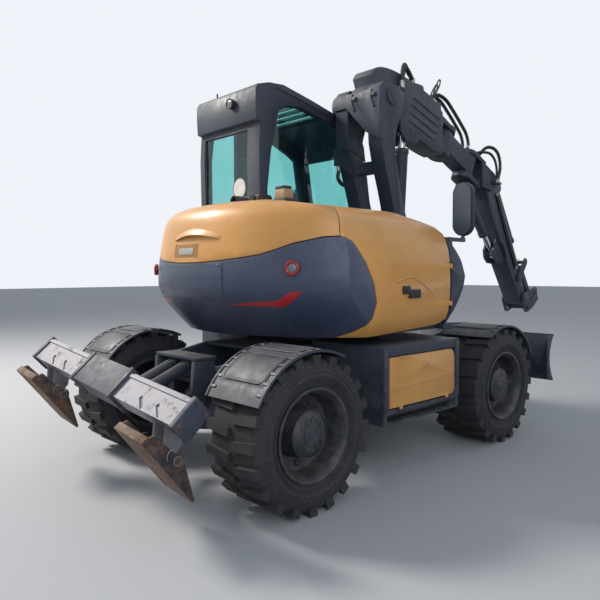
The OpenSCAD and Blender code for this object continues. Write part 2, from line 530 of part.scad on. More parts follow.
// Half cross-section: distance from the centre plane, height
function half_section(t) = [for (p = smooth([[-100, 0], [-35, 90], [0, 235], [0, 535], [-40, 715], [-110, 835], [-190, 895], [-300, 940], [-450, 968], [-750, 1005]], 2))
    [side_y + p[0] - t, body_bottom + p[1] + (p[1] > 800 ? -t : 0)]];
module section_solid(t) {
    h = half_section(t);
    left = [for (i = [len(h) - 1:-1:0]) [-h[i][0], h[i][1]]];
    translate([-1600, 0, 0]) rotate([90, 0, 90]) linear_extrude(3200)
        polygon(concat(left, h, [[0, hood_top - t]]));
}
module body_solid(t) {
    intersection() {
        tail_solid(t);
        section_solid(t);
    }
}
// Edge between the dark tail and the coloured panels, seen from the side: x, height
TAIL_EDGE = [[-2000, 1600], [-1330, 1600], [-1180, 1650], [-1050, 1725], [-920, 1765], [-830, 1770], [-760, 1740],
    [-650, 1600], [-565, 1450], [-530, 1320], [-560, 1200], [-640, 1110], [-730, body_bottom - 20]];
module counterweight() color("#2b2f3a") {
    difference() {
        intersection() {
            body_solid(0);
            slab(-1300, 1300, concat(TAIL_EDGE, [[-2000, body_bottom - 20]]));
        }
        translate([slew_x, 0, body_bottom - 30]) cylinder(r = tail_r - 320, h = 1200, $fn = 96);
        // Blank panel low in the middle and the latch's recess below the hood
        translate([slew_x, 0, 0]) rotate([0, 0, 180]) translate([tail_r - 12, -150, 1300]) cube([60, 300, 150]);
        translate([slew_x, 0, 0]) rotate([0, 0, 186]) translate([tail_r - 60, -70, 1500]) cube([90, 140, 80]);
    }
}
module shell(t) {
    difference() {
        body_solid(0);
        translate([0, 0, -1]) body_solid(t);
    }
}
SEAM = [-cab_back - 30, -590];
HOOD_PIN = [-cab_back - 15, hood_top - 12];
DOOR_PIN = [408, -side_y - 3];
module hood() color("#d9952b") {
    g = panel_gap;
    up = [for (p = TAIL_EDGE) if (p[0] < -800) p + [0, g]];
    intersection() {
        shell(shell_t);
        slab(-1300, 1300, concat(up, [[SEAM[0], up[len(up) - 1][1]], [SEAM[0], 2300], [-2000, 2300]]));
        linear_extrude(3000) polygon([[-2000, 1300], [SEAM[0], 1300], SEAM, [-870, -1120], [-2000, -1300]]);
    }
    // Air pipe with an open end and a lamp box on the top
    difference() {
        union() {
            translate([-830, 95, hood_top + 22]) rotate([0, 90, 0]) cylinder(r = 44, h = 110, $fn = 32);
            translate([-740, 95, hood_top - 70]) cylinder(r = 38, h = 95, $fn = 32);
        }
        translate([-840, 95, hood_top + 22]) rotate([0, 90, 0]) cylinder(r = 37, h = 80, $fn = 32);
    }
    slab(-70, 75, [[-710, hood_top - 55], [-560, hood_top - 45], [-560, hood_top + 60], [-580, hood_top + 75], [-690, hood_top + 75], [-710, hood_top + 55]]);
    // Hinge eyes at the front edge
    for (y = [-240, 140]) difference() {
        union() {
            cross(HOOD_PIN, 13, y - 20, y + 20, 24);
            slab(y - 20, y + 20, [HOOD_PIN + [-40, -12], HOOD_PIN + [-40, 2], HOOD_PIN + [0, 12], HOOD_PIN + [4, -12]]);
        }
        cross(HOOD_PIN, 8 + run, y - 30, y + 30, 24);
    }
}
module side_door() color("#d9952b") {
    g = panel_gap;
    low = [for (i = [len(TAIL_EDGE) - 1:-1:5]) TAIL_EDGE[i] + [g, 0]];
    intersection() {
        shell(shell_t);
        slab(-1300, SEAM[1], concat(low, [[-1000, 1790], [-1000, 2300], [-200, 2300], [60, 1975], [330, 1890], [396, 1834], [396, 1150], [300, 1110]]));
        linear_extrude(3000) polygon([SEAM + [g, 0], [396, SEAM[1]], [396, -1300], [-870, -1300], [-870 + g, -1120]]);
    }
    // Latch in its surround
    slab(-side_y - 9, -side_y + 8, [[-225, 1366], [-150, 1350], [-60, 1340], [-34, 1348], [-36, 1374], [-120, 1394], [-205, 1422], [-228, 1414]]);
    // Hinge eyes at the front edge
    for (z = [1262, 1562]) difference() {
        union() {
            translate([DOOR_PIN[0], DOOR_PIN[1], z]) cylinder(r = 12, h = 36, $fn = 24);
            box([380, DOOR_PIN[1], z], [DOOR_PIN[0], DOOR_PIN[1] + 12, z + 36]);
        }
        translate([DOOR_PIN[0], DOOR_PIN[1], z - 5]) cylinder(r = 6 + run, h = 50, $fn = 24);
    }
}
module engine() color("#555555") box([slew_x - tail_r + 420, -420, body_bottom + 45.3], [-480, 420, 1800]);

module upper_frame() color("#23262c") {
    translate([slew_x, 0, frame_top + 50.3]) cylinder(r = 470, h = 70, $fn = 96);
    // Base plate with a nose that carries the boom
    translate([0, 0, body_bottom]) difference() {
        linear_extrude(45) polygon([[-1100, -760], [-1100, 760], [-700, 1090], [1150, 1090], [1150, 190],
            [1420, 190], [1420, -455], [650, -455], [560, -1080], [412, -1080], [412, -1010], [-500, -1010]]);
        difference() {
            box([-1400, -1200, -10], [-500, 1200, 60]);
            translate([slew_x, 0, -20]) cylinder(r = tail_r - 320.3, h = 100, $fn = 96);
        }
    }
    // Boom bracket: y of each plate's inner face, side
    for (q = [[fork_l + side_play, 1], [fork_r - side_play, -1]]) difference() {
        slab(q[1] > 0 ? q[0] : q[0] - 40, q[1] > 0 ? q[0] + 40 : q[0], [[420, body_bottom + 40], [1420, body_bottom + 40],
            [1400, 1300], [1290, 1330], [1010, 1450], [940, 1520], [800, 1530], [700, 1450], [520, 1250]]);
        cross(PIN_A, pin_d/2, q[0] - 60, q[0] + 60);
    }
    cross(BOOM_CYL[0], small_r - run, fork_r - side_play - 45, fork_l + side_play + 45);
    // Deck between the cab and the right-hand door, with the hood's hinge
    box([-440, -580, 1900], [330, 215, 1930]);
    slab(-75, 85, [[-395, 1925], [-285, 1925], [-285, 2180], [-300, 2200], [-380, 2200], [-395, 2185]]);
    box([-440, -580, body_bottom + 40], [-400, -300, 1905]);
    box([-440, 100, body_bottom + 40], [-400, 215, 1905]);
    box([290, -580, body_bottom + 40], [330, -500, 1905]);
    for (y = [-290, -190, 90, 190]) slab(y - 8, y + 8, [[-440, 1925], [-400, 1925], HOOD_PIN + [14, 12], HOOD_PIN + [-9, 12], HOOD_PIN + [-9, -12]]);
    cross(HOOD_PIN, 8, -295, 195, 24);
    // Front right corner with the door's hinge pins and the mirror's stalk
    difference() {
        intersection() {
            shell(40);
            slab(-1300, SEAM[1], [[416, body_bottom - 5], [416, 1815], [440, 1800], [560, 1640], [620, 1500], [590, 1400], [440, 1160], [430, body_bottom - 5]]);
        }
        for (z = [1258, 1558]) translate([DOOR_PIN[0], DOOR_PIN[1], z]) cylinder(r = 18, h = 44, $fn = 32);
    }
    for (z = [1240, 1302, 1540, 1602]) box([DOOR_PIN[0] - 4, DOOR_PIN[1] - 10, z], [440, DOOR_PIN[1] + 24, z + 18]);
    for (z = [1240, 1540]) translate([DOOR_PIN[0], DOOR_PIN[1], z]) cylinder(r = 6, h = 80, $fn = 24);
    slab(-1112, -1060, [[430, 1650], [505, 1650], [490, 1760], [478, 1816], [440, 1816]]);
    box([440, -1101, 1784], [706, -1069, 1816]);
    translate([690, -1085, 1790]) cylinder(r = 16, h = 44.7, $fn = 24);
}

// Cab outlines in the side view: distance ahead of the rear face, height above its floor
CAB_SIDE = [[0, 0], [0, 900], [-10, 1500], [5, 1745], [-38, 1755], [-46, 1900], [-44, 2020], [-20, 2060], [110, 2098], [280, 2110],
    [625, 2042], [940, 1969], [1180, 1870], [1340, 1800], [1392, 1705], [1500, 1060], [1520, 700], [1450, 0]];
CAB_IN = [[60, 65], [55, 1500], [70, 1990], [130, 2025], [290, 2045], [625, 1980], [930, 1908], [1165, 1812], [1300, 1745],
    [1335, 1690], [1440, 1060], [1458, 700], [1395, 65]];
WIN_R = [[75, 860], [82, 1150], [128, 1507], [186, 1736], [225, 1885], [330, 1935], [494, 1944], [930, 1862], [1150, 1768],
    [1270, 1700], [1385, 1050], [1390, 760]];
WIN_L = [[90, 855], [85, 1500], [130, 1850], [190, 1900], [400, 1900], [400, 855]];
WIN_FRONT = [[1380, 700], [1380, 1000], [1280, 1640], [1600, 1640], [1600, 700]];
WIN_ROOF = [[290, 1900], [290, 2200], [880, 2200], [880, 1900]];
DOORWAY = [[560, 85], [480, 855], [480, 1900], [560, 1960], [930, 1870], [1150, 1775], [1270, 1705], [1385, 1050], [1390, 760], [1330, 85]];
rear_win = [170, 935, 765];
function cab_pts(list) = [for (p = list) [p[0]*cab_l/1520 - cab_back, body_bottom + 45.3 + p[1]*(cab_top - body_bottom - 45)/2110]];
module cab_slab(y0, y1, list) slab(cab_right + y0, cab_right + y1, cab_pts(list));
module cab_window_cuts() {
    cab_slab(-20, post_t + 20, WIN_R);
    cab_slab(rear_win[0], cab_w - 70, [[-80, rear_win[1]], [120, rear_win[1]], [120, rear_win[1] + rear_win[2]], [-80, rear_win[1] + rear_win[2]]]);
    cab_slab(70, cab_w - 70, WIN_FRONT);
    cab_slab(120, cab_w - 120, WIN_ROOF);
    cab_slab(cab_w - post_t - 20, cab_w + 20, DOORWAY);
    cab_slab(cab_w - post_t - 20, cab_w + 20, WIN_L);
}
module cab_frame() color("#23262c") {
    difference() {
        cab_slab(0, cab_w, CAB_SIDE);
        cab_slab(post_t, cab_w - post_t, CAB_IN);
        cab_window_cuts();
    }
    // Hinge pins of the door
    for (z = [2250, 2850]) {
        for (e = [0, 62]) box([40, CAB_PIN[1] - 20, z + e], [CAB_PIN[0] + 6, CAB_PIN[1] + 8, z + e + 18]);
        translate([CAB_PIN[0], CAB_PIN[1], z]) cylinder(r = 6, h = 80, $fn = 24);
    }
    // Slats of the roof guard follow the slope of the roof
    for (i = [0:5]) let (a = 300 + i*98, h = 2106 - (a - 280)*0.205) cab_slab(110, cab_w - 110, [[a, h - 14], [a + 52, h - 25], [a + 52, h - 5], [a, h + 6]]);
    // Antenna and a gutter along the roof's right edge
    translate([-cab_back + 120, cab_right + cab_w - 110, cab_top - 30]) cylinder(r = 9, h = 85, $fn = 20);
    cab_slab(-9, 4, [[200, 2062], [494, 2012], [940, 1918], [1150, 1835], [1150, 1850], [940, 1934], [494, 2028], [200, 2078]]);
}
module cab_glass() color("#9fd8cf") {
    cab_slab(20, 20 + glass_t, WIN_R);
    cab_slab(rear_win[0], cab_w - 70, [[14, rear_win[1]], [14 + glass_t, rear_win[1]], [14 + glass_t, rear_win[1] + rear_win[2]], [14, rear_win[1] + rear_win[2]]]);
    cab_slab(70, cab_w - 70, [[1503, 700], [1503 + glass_t, 700], [1481 + glass_t, 1060], [1384 + glass_t, 1640], [1384, 1640], [1481, 1060]]);
    cab_slab(120, cab_w - 120, [[290, 2074], [290, 2074 + glass_t], [625, 2008 + glass_t], [880, 1950 + glass_t], [880, 1950], [625, 2008]]);
    cab_slab(cab_w - 20 - glass_t, cab_w - 20, WIN_L);
}
CAB_PIN = [60, cab_right + cab_w + 15];
DOOR = [[570, 95], [490, 860], [490, 1895], [563, 1948], [926, 1859], [1144, 1765], [1261, 1699], [1375, 1047], [1380, 765], [1320, 95]];
DOOR_WIN = [[620, 215], [560, 855], [560, 1840], [600, 1880], [910, 1800], [1120, 1712], [1215, 1655], [1318, 1040], [1323, 780], [1280, 215]];
module cab_door() color("#23262c") {
    difference() {
        cab_slab(cab_w - 50, cab_w - 4, DOOR);
        cab_slab(cab_w - 80, cab_w + 10, DOOR_WIN);
    }
    for (h = [2272, 2872]) difference() {
        union() {
            translate([CAB_PIN[0], CAB_PIN[1], h]) cylinder(r = 12, h = 36, $fn = 24);
            box([CAB_PIN[0], CAB_PIN[1] - 12, h], [520 - cab_back, CAB_PIN[1] + 4, h + 36]);
            box([CAB_PIN[0] + 14, CAB_PIN[1] - 25, h], [520 - cab_back, CAB_PIN[1] - 10, h + 36]);
        }
        translate([CAB_PIN[0], CAB_PIN[1], h - 5]) cylinder(r = 6 + run, h = 50, $fn = 24);
    }
}
module door_glass() color("#9fd8cf") cab_slab(cab_w - 24 - glass_t, cab_w - 24, DOOR_WIN);
module seat() color("#26282b") {
    x = -cab_back;
    z = body_bottom;
    y = cab_right + cab_w/2;
    slab(y - 240, y + 240, [[x + 330, z + 560], [x + 330, z + 690], [x + 860, z + 720], [x + 880, z + 580]]);
    slab(y - 230, y + 230, [[x + 250, z + 680], [x + 190, z + 1330], [x + 310, z + 1340], [x + 390, z + 690]]);
    slab(y - 130, y + 130, [[x + 195, z + 1325], [x + 180, z + 1600], [x + 280, z + 1600], [x + 300, z + 1330]]);
    box([x + 420, y - 150, z + 110.3], [x + 760, y + 150, z + 600]);
}
// Mirror head facing backwards: x, y of its middle, height of its middle
module mirror_head(x, y, z) {
    translate([x - 25, y, z]) rotate([90, 0, 90]) {
        linear_extrude(50) polygon(concat(arc(0, 130, 95, 10, 170, 8), arc(0, -130, 95, 190, 350, 8)));
    }
}
module mirrors() color("#15171a") {
    // Right mirror on the body's front corner, left one on the cab's front post
    mirror_head(700, -1085, 2060);
    mirror_head(1050, cab_right + cab_w + 150, 2300);
    box([990, cab_right + cab_w + 0.3, 2290], [1045, cab_right + cab_w + 100, 2320]);
}

// Boom

leg_l0 = fork_l - leg_w;
LEG = concat(arc(PIN_A[0], PIN_A[1], 95, 160, 340, 8), smooth([[985, 1560], [890, 1850], [785, 2130], [690, 2440], [645, 2660], [655, 2800], [720, 2960], [765, 3060]], 2),
    [[775, 3190], [700, 3235], [470, 3235], [430, 3190]], smooth([[430, 2960], [445, 2700], [520, 2440], [620, 2140], [700, 1700]], 2));
// Web behind the fork's head: y, height
function web_pts() = [[fork_r, 2720], [fork_r + leg_w, 2800], [leg_l0 + 5, 3060], [fork_l, 3060], [fork_l, 3180], [fork_r, 3180]];
// Block on the left leg that the hoses end at: its two corners in x and height, and its thickness
HOSE_BLOCK = [[462, 2560], [560, 2720], 55];
module base_boom() color("#23262c") {
    legs = [[fork_r, fork_r + leg_w], [leg_l0, fork_l]];
    for (g = legs) difference() {
        slab(g[0], g[1], LEG);
        cross(PIN_B, pin_d/2, g[0] - 5, g[1] + 5);
    }
    // Cross-members between the legs
    box([740, fork_r + 20, 1780], [880, fork_l - 20, 1900]);
    box([540, fork_r + 20, 2450], [620, fork_l - 20, 2560]);
    translate([412, 0, 0]) rotate([90, 0, 90]) linear_extrude(26) polygon(web_pts());
    // Round end of the pivot's tube on the left, caps on the right and two hooks on the web
    cross(PIN_B, 125, fork_l - 5, fork_l + 92, 64);
    cross(PIN_B, 85, fork_r - 14, fork_r + 5);
    for (y = [fork_r + 60, fork_r + 290]) translate([396, y, 3125]) rotate([0, 90, 0]) cylinder(r = 20, h = 20, $fn = 32);
    for (y = [fork_r + 60, fork_r + 290]) translate([400, 0, 0]) rotate([90, 0, 90]) linear_extrude(14)
        polygon([[y + 38, 3170], [y + 22, 3170], [y + 30, 3100], [y - 6, 3020], [y + 8, 3010], [y + 50, 3100]]);
    slab(fork_l - 5, fork_l + HOSE_BLOCK[2], [HOSE_BLOCK[0], [HOSE_BLOCK[1][0], HOSE_BLOCK[0][1]], HOSE_BLOCK[1], [HOSE_BLOCK[0][0], HOSE_BLOCK[1][1]]]);
    slab(fork_l - 5, fork_l + 45, [[690, 2300], [750, 2300], [735, 2360], [680, 2360]]);
    // Foot lugs of the middle cylinder
    for (e = [-1, 1]) slab(boom_y() + e*54 - 12, boom_y() + e*54 + 12, concat([[870, 1900], [760, 1900], [760, 1600]],
        arc(MID_CYL[0][0], MID_CYL[0][1], 60, -80, 80, 6), [MID_CYL[0] + [-82, 60], MID_CYL[0] + [-122, 140]]));
    cross(MID_CYL[0], small_r - run, boom_y() - 66, boom_y() + 66);
    // Ears for the boom cylinders' rod eyes
    for (g = [-1, 1]) for (e = [-1, 1])
        slab(boom_y() + g*(fork_w - leg_w)/2 + e*46 - 9, boom_y() + g*(fork_w - leg_w)/2 + e*46 + 9,
            concat([[800, 2060], [820, 1760]], arc(BOOM_CYL[1][0], BOOM_CYL[1][1], 52, -70, 80, 6)));
    // Pins
    for (q = [[fork_r - side_play - 50, fork_r + leg_w + 2], [fork_l - leg_w - 2, fork_l + side_play + 50]])
        cross(PIN_A, pin_d/2 - run, q[0], q[1]);
}
boom_cyl_y = (fork_w - leg_w)/2;
module boom_barrels() color("#23262c") for (g = [-1, 1]) aim(BOOM_CYL[0], BOOM_CYL[1]) barrel(boom_y() + g*boom_cyl_y, 440, cyl_d - 10, 55, 70, 55);
module boom_rods() color("#b9bcc0") for (g = [-1, 1]) aim(BOOM_CYL[0], BOOM_CYL[1])
    rod(boom_y() + g*boom_cyl_y, 340, norm(BOOM_CYL[1] - BOOM_CYL[0]), 55, 66, 45);

ARCH_TOP = 3428;
MANIFOLD_TOP = 3300;
mid_y0 = boom_y() - mid_w/2;
mid_y1 = boom_y() + mid_w/2;
module mid_boom() color("#23262c") {
    difference() {
        union() {
            slab(mid_y0, mid_y1, concat(arc(PIN_B[0], PIN_B[1], 150, 250, 118, 8), smooth([[498, 3340], [540, 3400], [640, 3436], [800, 3444], [980, 3424],
                [1200, 3385], [1400, 3330], [1560, 3262], [1650, 3195]], 2), smooth([[1650, 2762], [1440, 2800], [1250, 2862], [1000, 2970], [800, 3020]], 2)));
            // Block at the end of the arching hose, manifold at the front and the hoses' bracket
            slab(boom_y() - 62, boom_y() + 62, [[1235, 3340], [1385, 3310], [1385, ARCH_TOP - 20], [1365, ARCH_TOP], [1235, ARCH_TOP]]);
            slab(mid_y0 + 15, mid_y1 - 15, [[1480, 3270], [1640, 3190], [1640, MANIFOLD_TOP], [1480, MANIFOLD_TOP]]);
            box([878, mid_y0 - 58, 3262], [936, mid_y0 + 2, 3290]);
            // Ribs pressed into the right side
            for (k = [0:3]) slab(mid_y0 - 7, mid_y0 + 1, [for (p = smooth([[1130, 3250], [1300, 3235], [1450, 3190], [1600, 3110]], 2)) p - [k*25, k*78]]);
            for (e = [-1, 1]) slab(boom_y() + e*(mid_w/2 - 10) - 10, boom_y() + e*(mid_w/2 - 10) + 10, [[930, 3100], [930, 2900], [1020, 2810], [1180, 2810], [1260, 2870], [1260, 3000]]);
            // Clevis of the swing pin
            translate([SWING_A[0], boom_y(), SWING_A[1]]) rotate([0, swing_tilt, 0]) {
                for (z = [-170, 120]) translate([0, 0, z]) cylinder(r = 120, h = 50, $fn = 48);
                for (z = [-170, 120]) translate([-240, 6 - mid_w/2, z]) cube([240, mid_w - 12, 50]);
                translate([-240, 6 - mid_w/2, -170]) cube([60, mid_w - 12, 340]);
            }
        }
        // Pocket of the cylinder's rod eye
        slab(boom_y() - 52, boom_y() + 52, concat(arc(MID_CYL[1][0], MID_CYL[1][1], 108, 0, 180, 12), [MID_CYL[1] + [-230, -260], MID_CYL[1] + [200, -260]]));
    }
    cross(PIN_B, pin_d/2 - run, fork_r + 7, fork_l - 7);
    translate([SWING_A[0], boom_y(), SWING_A[1]]) rotate([0, swing_tilt, 0]) translate([0, 0, -180]) cylinder(d = pin_d - 2*run, h = 360, $fn = 48);
}
module mid_barrel() color("#23262c") aim(MID_CYL[0], MID_CYL[1]) barrel(boom_y(), 1120, mid_cyl_d, 75, 80, 58);
module mid_rod() color("#b9bcc0") aim(MID_CYL[0], MID_CYL[1]) rod(boom_y(), 620, norm(MID_CYL[1] - MID_CYL[0]), 75, 90, 58);

swing_l = norm(SWING_B - SWING_A);
module swing_arm() color("#23262c") translate([SWING_A[0], boom_y(), SWING_A[1]]) rotate([0, swing_tilt, 0]) difference() {
    union() {
        translate([0, 0, -114]) cylinder(r = 105, h = 228, $fn = 48);
        translate([swing_l, 0, -114]) cylinder(r = 105, h = 228, $fn = 48);
        translate([0, -90, -100]) cube([swing_l, 180, 200]);
    }
    translate([0, 0, -200]) cylinder(d = pin_d, h = 400, $fn = 48);
    translate([swing_l, 0, -200]) cylinder(d = pin_d, h = 400, $fn = 48);
}
module in_head() translate([SWING_B[0], boom_y(), SWING_B[1]]) rotate([0, swing_tilt, 0]) children();
module boom_head() color("#23262c") {
    translate([SWING_B[0], boom_y(), SWING_B[1]]) rotate([0, swing_tilt, 0]) {
        for (z = [-170, 120]) translate([0, 0, z]) cylinder(r = 115, h = 50, $fn = 48);
        for (z = [-170, 120]) translate([0, -115, z]) cube([230, 230, 50]);
        translate([170, -115, -170]) cube([60, 230, 340]);
        translate([0, 0, -180]) cylinder(d = pin_d - 2*run, h = 360, $fn = 48);
    }
    head_w = dipper_w + 2*(side_play + 25);
    // Cheeks either side of the dipper
    for (e = [-1, 1]) slab(boom_y() + e*(head_w/2 - 12.5) - 12.5, boom_y() + e*(head_w/2 - 12.5) + 12.5,
        concat([[2420, 2500], [2420, 2790]], arc(PIN_P[0], PIN_P[1], 110, 80, -90, 8)));
    box([2420, boom_y() - head_w/2, 2522], [2485, boom_y() + head_w/2, 2770]);
    // Seats of the hoses: on the top plate and low on each cheek
    in_head() for (u = [[-80, -35], [-80, 35]]) translate([u[0], u[1], 168]) cylinder(r = 19, h = 17, $fn = 24);
    for (e = [-1, 1]) slab(boom_y() + e*(head_w/2 + 30) - 32, boom_y() + e*(head_w/2 + 30) + 32, [[2660, 2545], [2745, 2545], [2745, 2570], [2660, 2570]]);
    // Foot lugs of the dipper cylinder
    for (e = [-1, 1]) slab(boom_y() + e*52 - 12, boom_y() + e*52 + 12, concat([[2440, 2600], [2300, 2562]],
        arc(DIP_CYL[0][0], DIP_CYL[0][1], 55, 110, 390, 10), [DIP_CYL[0] + [100, 43], [2440, 2524]]));
    cross(DIP_CYL[0], small_r - run, boom_y() - 64, boom_y() + 64);
    cross(PIN_P, pin_d/2 - run, boom_y() - head_w/2 - 12, boom_y() + head_w/2 + 12);
}
module in_dipper() translate([PIN_P[0], 0, PIN_P[1]]) rotate([0, -dipper_dir, 0]) children();
module dipper() color("#23262c") {
    difference() {
        in_dipper() union() {
            slab(boom_y() - dipper_w/2, boom_y() + dipper_w/2, concat(arc(0, 0, 110, 180, 270, 4), [[300, -150], [740, -138], [780, -98], [960, -92], [1000, -122], [1500, -80]],
                arc(dipper_l, 0, 75, -90, 90, 6), [[1400, 95], [500, 130], [150, 140], [-60, 130]]));
            // Foot lugs of the bucket cylinder
            for (e = [-1, 1]) slab(boom_y() + e*52 - 12, boom_y() + e*52 + 12, concat([[380, 100], [40, 100]],
                arc(BUCKET_F[0], BUCKET_F[1], 55, 160, -40, 8), [BUCKET_F + [65, -72]]));
            // Lugs of the dipper cylinder's rod eye
            for (e = [-1, 1]) slab(boom_y() + e*60 - 12, boom_y() + e*60 + 12, [[660, -100], [760, -270], [850, -300], [940, -270], [1060, -100]]);
        }
        cross(PIN_P, pin_d/2, boom_y() - 200, boom_y() + 200);
        cross(PIN_T, pin_d/2, boom_y() - 200, boom_y() + 200);
    }
    in_dipper() cross(BUCKET_F, small_r - run, boom_y() - 64, boom_y() + 64);
    in_dipper() cross(ROCKER_Q, small_r - run, boom_y() - dipper_w/2 - 32, boom_y() + dipper_w/2 + 32);
}
module dipper_barrel() color("#23262c") aim(DIP_CYL[0], DIP_CYL[1]) barrel(boom_y(), 700, cyl_d, 60, 78, 52);
module dipper_rod() color("#b9bcc0") aim(DIP_CYL[0], DIP_CYL[1]) rod(boom_y(), 330, norm(DIP_CYL[1] - DIP_CYL[0]), 60, 90, 50);
module bucket_barrel() color("#23262c") in_dipper() aim(BUCKET_F, ROCKER_R) barrel(boom_y(), 760, cyl_d - 10, 55, 78, 52);
module bucket_rod() color("#b9bcc0") in_dipper() {
    aim(BUCKET_F, ROCKER_R) rod(boom_y(), 400, norm(ROCKER_R - BUCKET_F), 55, 70, 46);
    cross(ROCKER_R, small_r, boom_y() - dipper_w/2, boom_y() + dipper_w/2);
}
module rocker() color("#23262c") in_dipper() for (e = [-1, 1]) difference() {
    slab(boom_y() + e*(dipper_w/2 + 16) - 10, boom_y() + e*(dipper_w/2 + 16) + 10, concat(arc(ROCKER_Q[0], ROCKER_Q[1], 50, 200, 340, 6), arc(ROCKER_R[0], ROCKER_R[1], 48, 20, 160, 6)));
    cross(ROCKER_Q, small_r, boom_y() - 200, boom_y() + 200);
}
module tie_link() color("#23262c") in_dipper() {
    difference() {
        slab(boom_y() - 50, boom_y() + 50, concat(arc(COUPLER_P[0], COUPLER_P[1], 45, -90, 90, 6), arc(ROCKER_R[0] + 98, ROCKER_R[1] + 6, 40, 90, 270, 4)));
        cross(COUPLER_P, small_r, boom_y() - 60, boom_y() + 60);
    }
}
module coupler() color("#23262c") in_dipper() {
    for (e = [-1, 1]) difference() {
        slab(boom_y() + e*(dipper_w/2 + 22) - 14, boom_y() + e*(dipper_w/2 + 22) + 14,
        concat(arc(dipper_l, 0, 70, 150, 270, 5), arc(TOOL_BORE[0], TOOL_BORE[1], 54, -80, 0, 4),
            [[1840, 90], [1830, 300]], arc(COUPLER_P[0], COUPLER_P[1], 60, 30, 180, 5)));
        cross(TOOL_BORE, tool_pin_d/2, boom_y() - 300, boom_y() + 300);
    }
    cross([dipper_l, 0], pin_d/2 - run, boom_y() - dipper_w/2 - 40, boom_y() + dipper_w/2 + 40);
    cross(COUPLER_P, small_r - run, boom_y() - dipper_w/2 - 40, boom_y() + dipper_w/2 + 40);
    box([1745, boom_y() - dipper_w/2 - 10, 36], [1815, boom_y() + dipper_w/2 + 10, 220]);
}

// Hoses: each route starts and ends face to face with its fitting

// On the left leg: x, y, height
LEG_ROUTES = [[[500, 168, 2559.7], [500, 168, 2500], [492, 172, 2470], [505, 172, 2425], [570, 172, 2385], [650, 170, 2395], [705, 168, 2410], [715, 166, 2385], [715, 166, 2360.3]],
    [[530, 168, 2720.3], [530, 168, 2755], [542, 173, 2820], [562, 182, 2890], [585, 188, 2955], [590, 188, 2980], [590, 188, 3005.1]]];
CROSS_ROUTE = [[461.7, 170, 2680], [445, 170, 2680], [424, 156, 2680], [404, 130, 2682], [400, 60, 2684], [402, -10, 2682], [420, -62, 2670],
    [470, -78, 2640], [545, -80, 2620], [578, -80, 2590], [580, -80, 2575], [580, -80, 2560.3]];
module leg_hoses() color("#101113") {
    hose(LEG_ROUTES[0], hose_d);
    hose(LEG_ROUTES[1], pilot_d);
    hose(CROSS_ROUTE, pilot_d);
}
ARCH = [[907, mid_y0 - 30, 3290.3], [907, mid_y0 - 30, 3365], [925, mid_y0 - 30, 3445], [965, mid_y0 - 12, 3505], [1030, mid_y0 + 32, 3546],
    [1110, mid_y0 + 80, 3560], [1200, mid_y0 + 108, 3532], [1262, boom_y(), 3486], [1275, boom_y(), ARCH_TOP + 35], [1275, boom_y(), ARCH_TOP + 0.3]];
LOOP = [[1520, -200, MANIFOLD_TOP + 0.3], [1520, -200, MANIFOLD_TOP + 30], [1538, -203, 3370], [1575, -206, 3450], [1630, -206, 3530], [1668, -200, 3545], [1676, -190, 3500],
    [1640, -180, 3430], [1590, -173, 3370], [1580, -172, MANIFOLD_TOP + 30], [1580, -172, MANIFOLD_TOP + 0.3]];
// Over the swing to the head's top, whose plate lies square to the swing's axis
function over_head(u, v, h) = [SWING_B[0] + u*cos(swing_tilt) + h*sin(swing_tilt), boom_y() + v, SWING_B[1] - u*sin(swing_tilt) + h*cos(swing_tilt)];
function over_swing(v) = [[1600, boom_y() + v, MANIFOLD_TOP + 0.3], [1600, boom_y() + v, MANIFOLD_TOP + 35], [1628, boom_y() + v, 3376], [1700, boom_y() + v, 3402], [1834, boom_y() + v, 3375],
    [1970, boom_y() + v, 3290], [2120, boom_y() + v, 3180], [2240, boom_y() + v, 3080], over_head(-80, v, 235), over_head(-80, v, 185.3)];
module mid_hoses() color("#101113") {
    hose(ARCH, arch_d);
    hose(LOOP, pilot_d);
    hose([for (p = LOOP) p + [45, 62, p[2] > MANIFOLD_TOP + 31 ? (3420 - p[2])*0.2 : 0]], pilot_d);
    for (v = [-35, 35]) hose(over_swing(v), hose_d);
}
// From the head's top plate out over a cheek and down to the seat beside the dipper's pivot
HEAD_ROUTE = [over_head(110, -80, 170.3), over_head(110, -80, 205), [2530, boom_y() - 112, 2950], [2610, boom_y() - 148, 2962],
    [2690, boom_y() - 172, 2915], [2745, boom_y() - 175, 2825], [2755, boom_y() - 174, 2725], [2724, boom_y() - 173, 2640], [2722, boom_y() - 173, 2600], [2722, boom_y() - 173, 2570.3]];
INNER_ROUTE = [over_head(60, -82, 170.3), over_head(60, -82, 200), [2470, boom_y() - 118, 2895], [2550, boom_y() - 158, 2885],
    [2620, boom_y() - 176, 2825], [2665, boom_y() - 178, 2740], [2680, boom_y() - 176, 2650], [2680, boom_y() - 175, 2600], [2680, boom_y() - 175, 2570.3]];
module head_hoses() color("#101113") for (s = [0, 1]) translate([0, s*2*boom_y(), 0]) mirror([0, s, 0]) {
    hose(HEAD_ROUTE, hose_d);
    hose(INNER_ROUTE, hose_d*0.75);
}
module dipper_hoses() color("#101113") in_dipper() for (e = [-1, 1]) for (k = [0, 1]) let (y = boom_y() + e*(dipper_w/2 + 11.3))
    hose([[175, y, 75 - k*30], [330, y, 60 - k*30], [560, y, 48 - k*30], [850, y, 40 - k*30], [1080, y, 38 - k*30], [1200, y, 40 - k*30]], 22, 2);

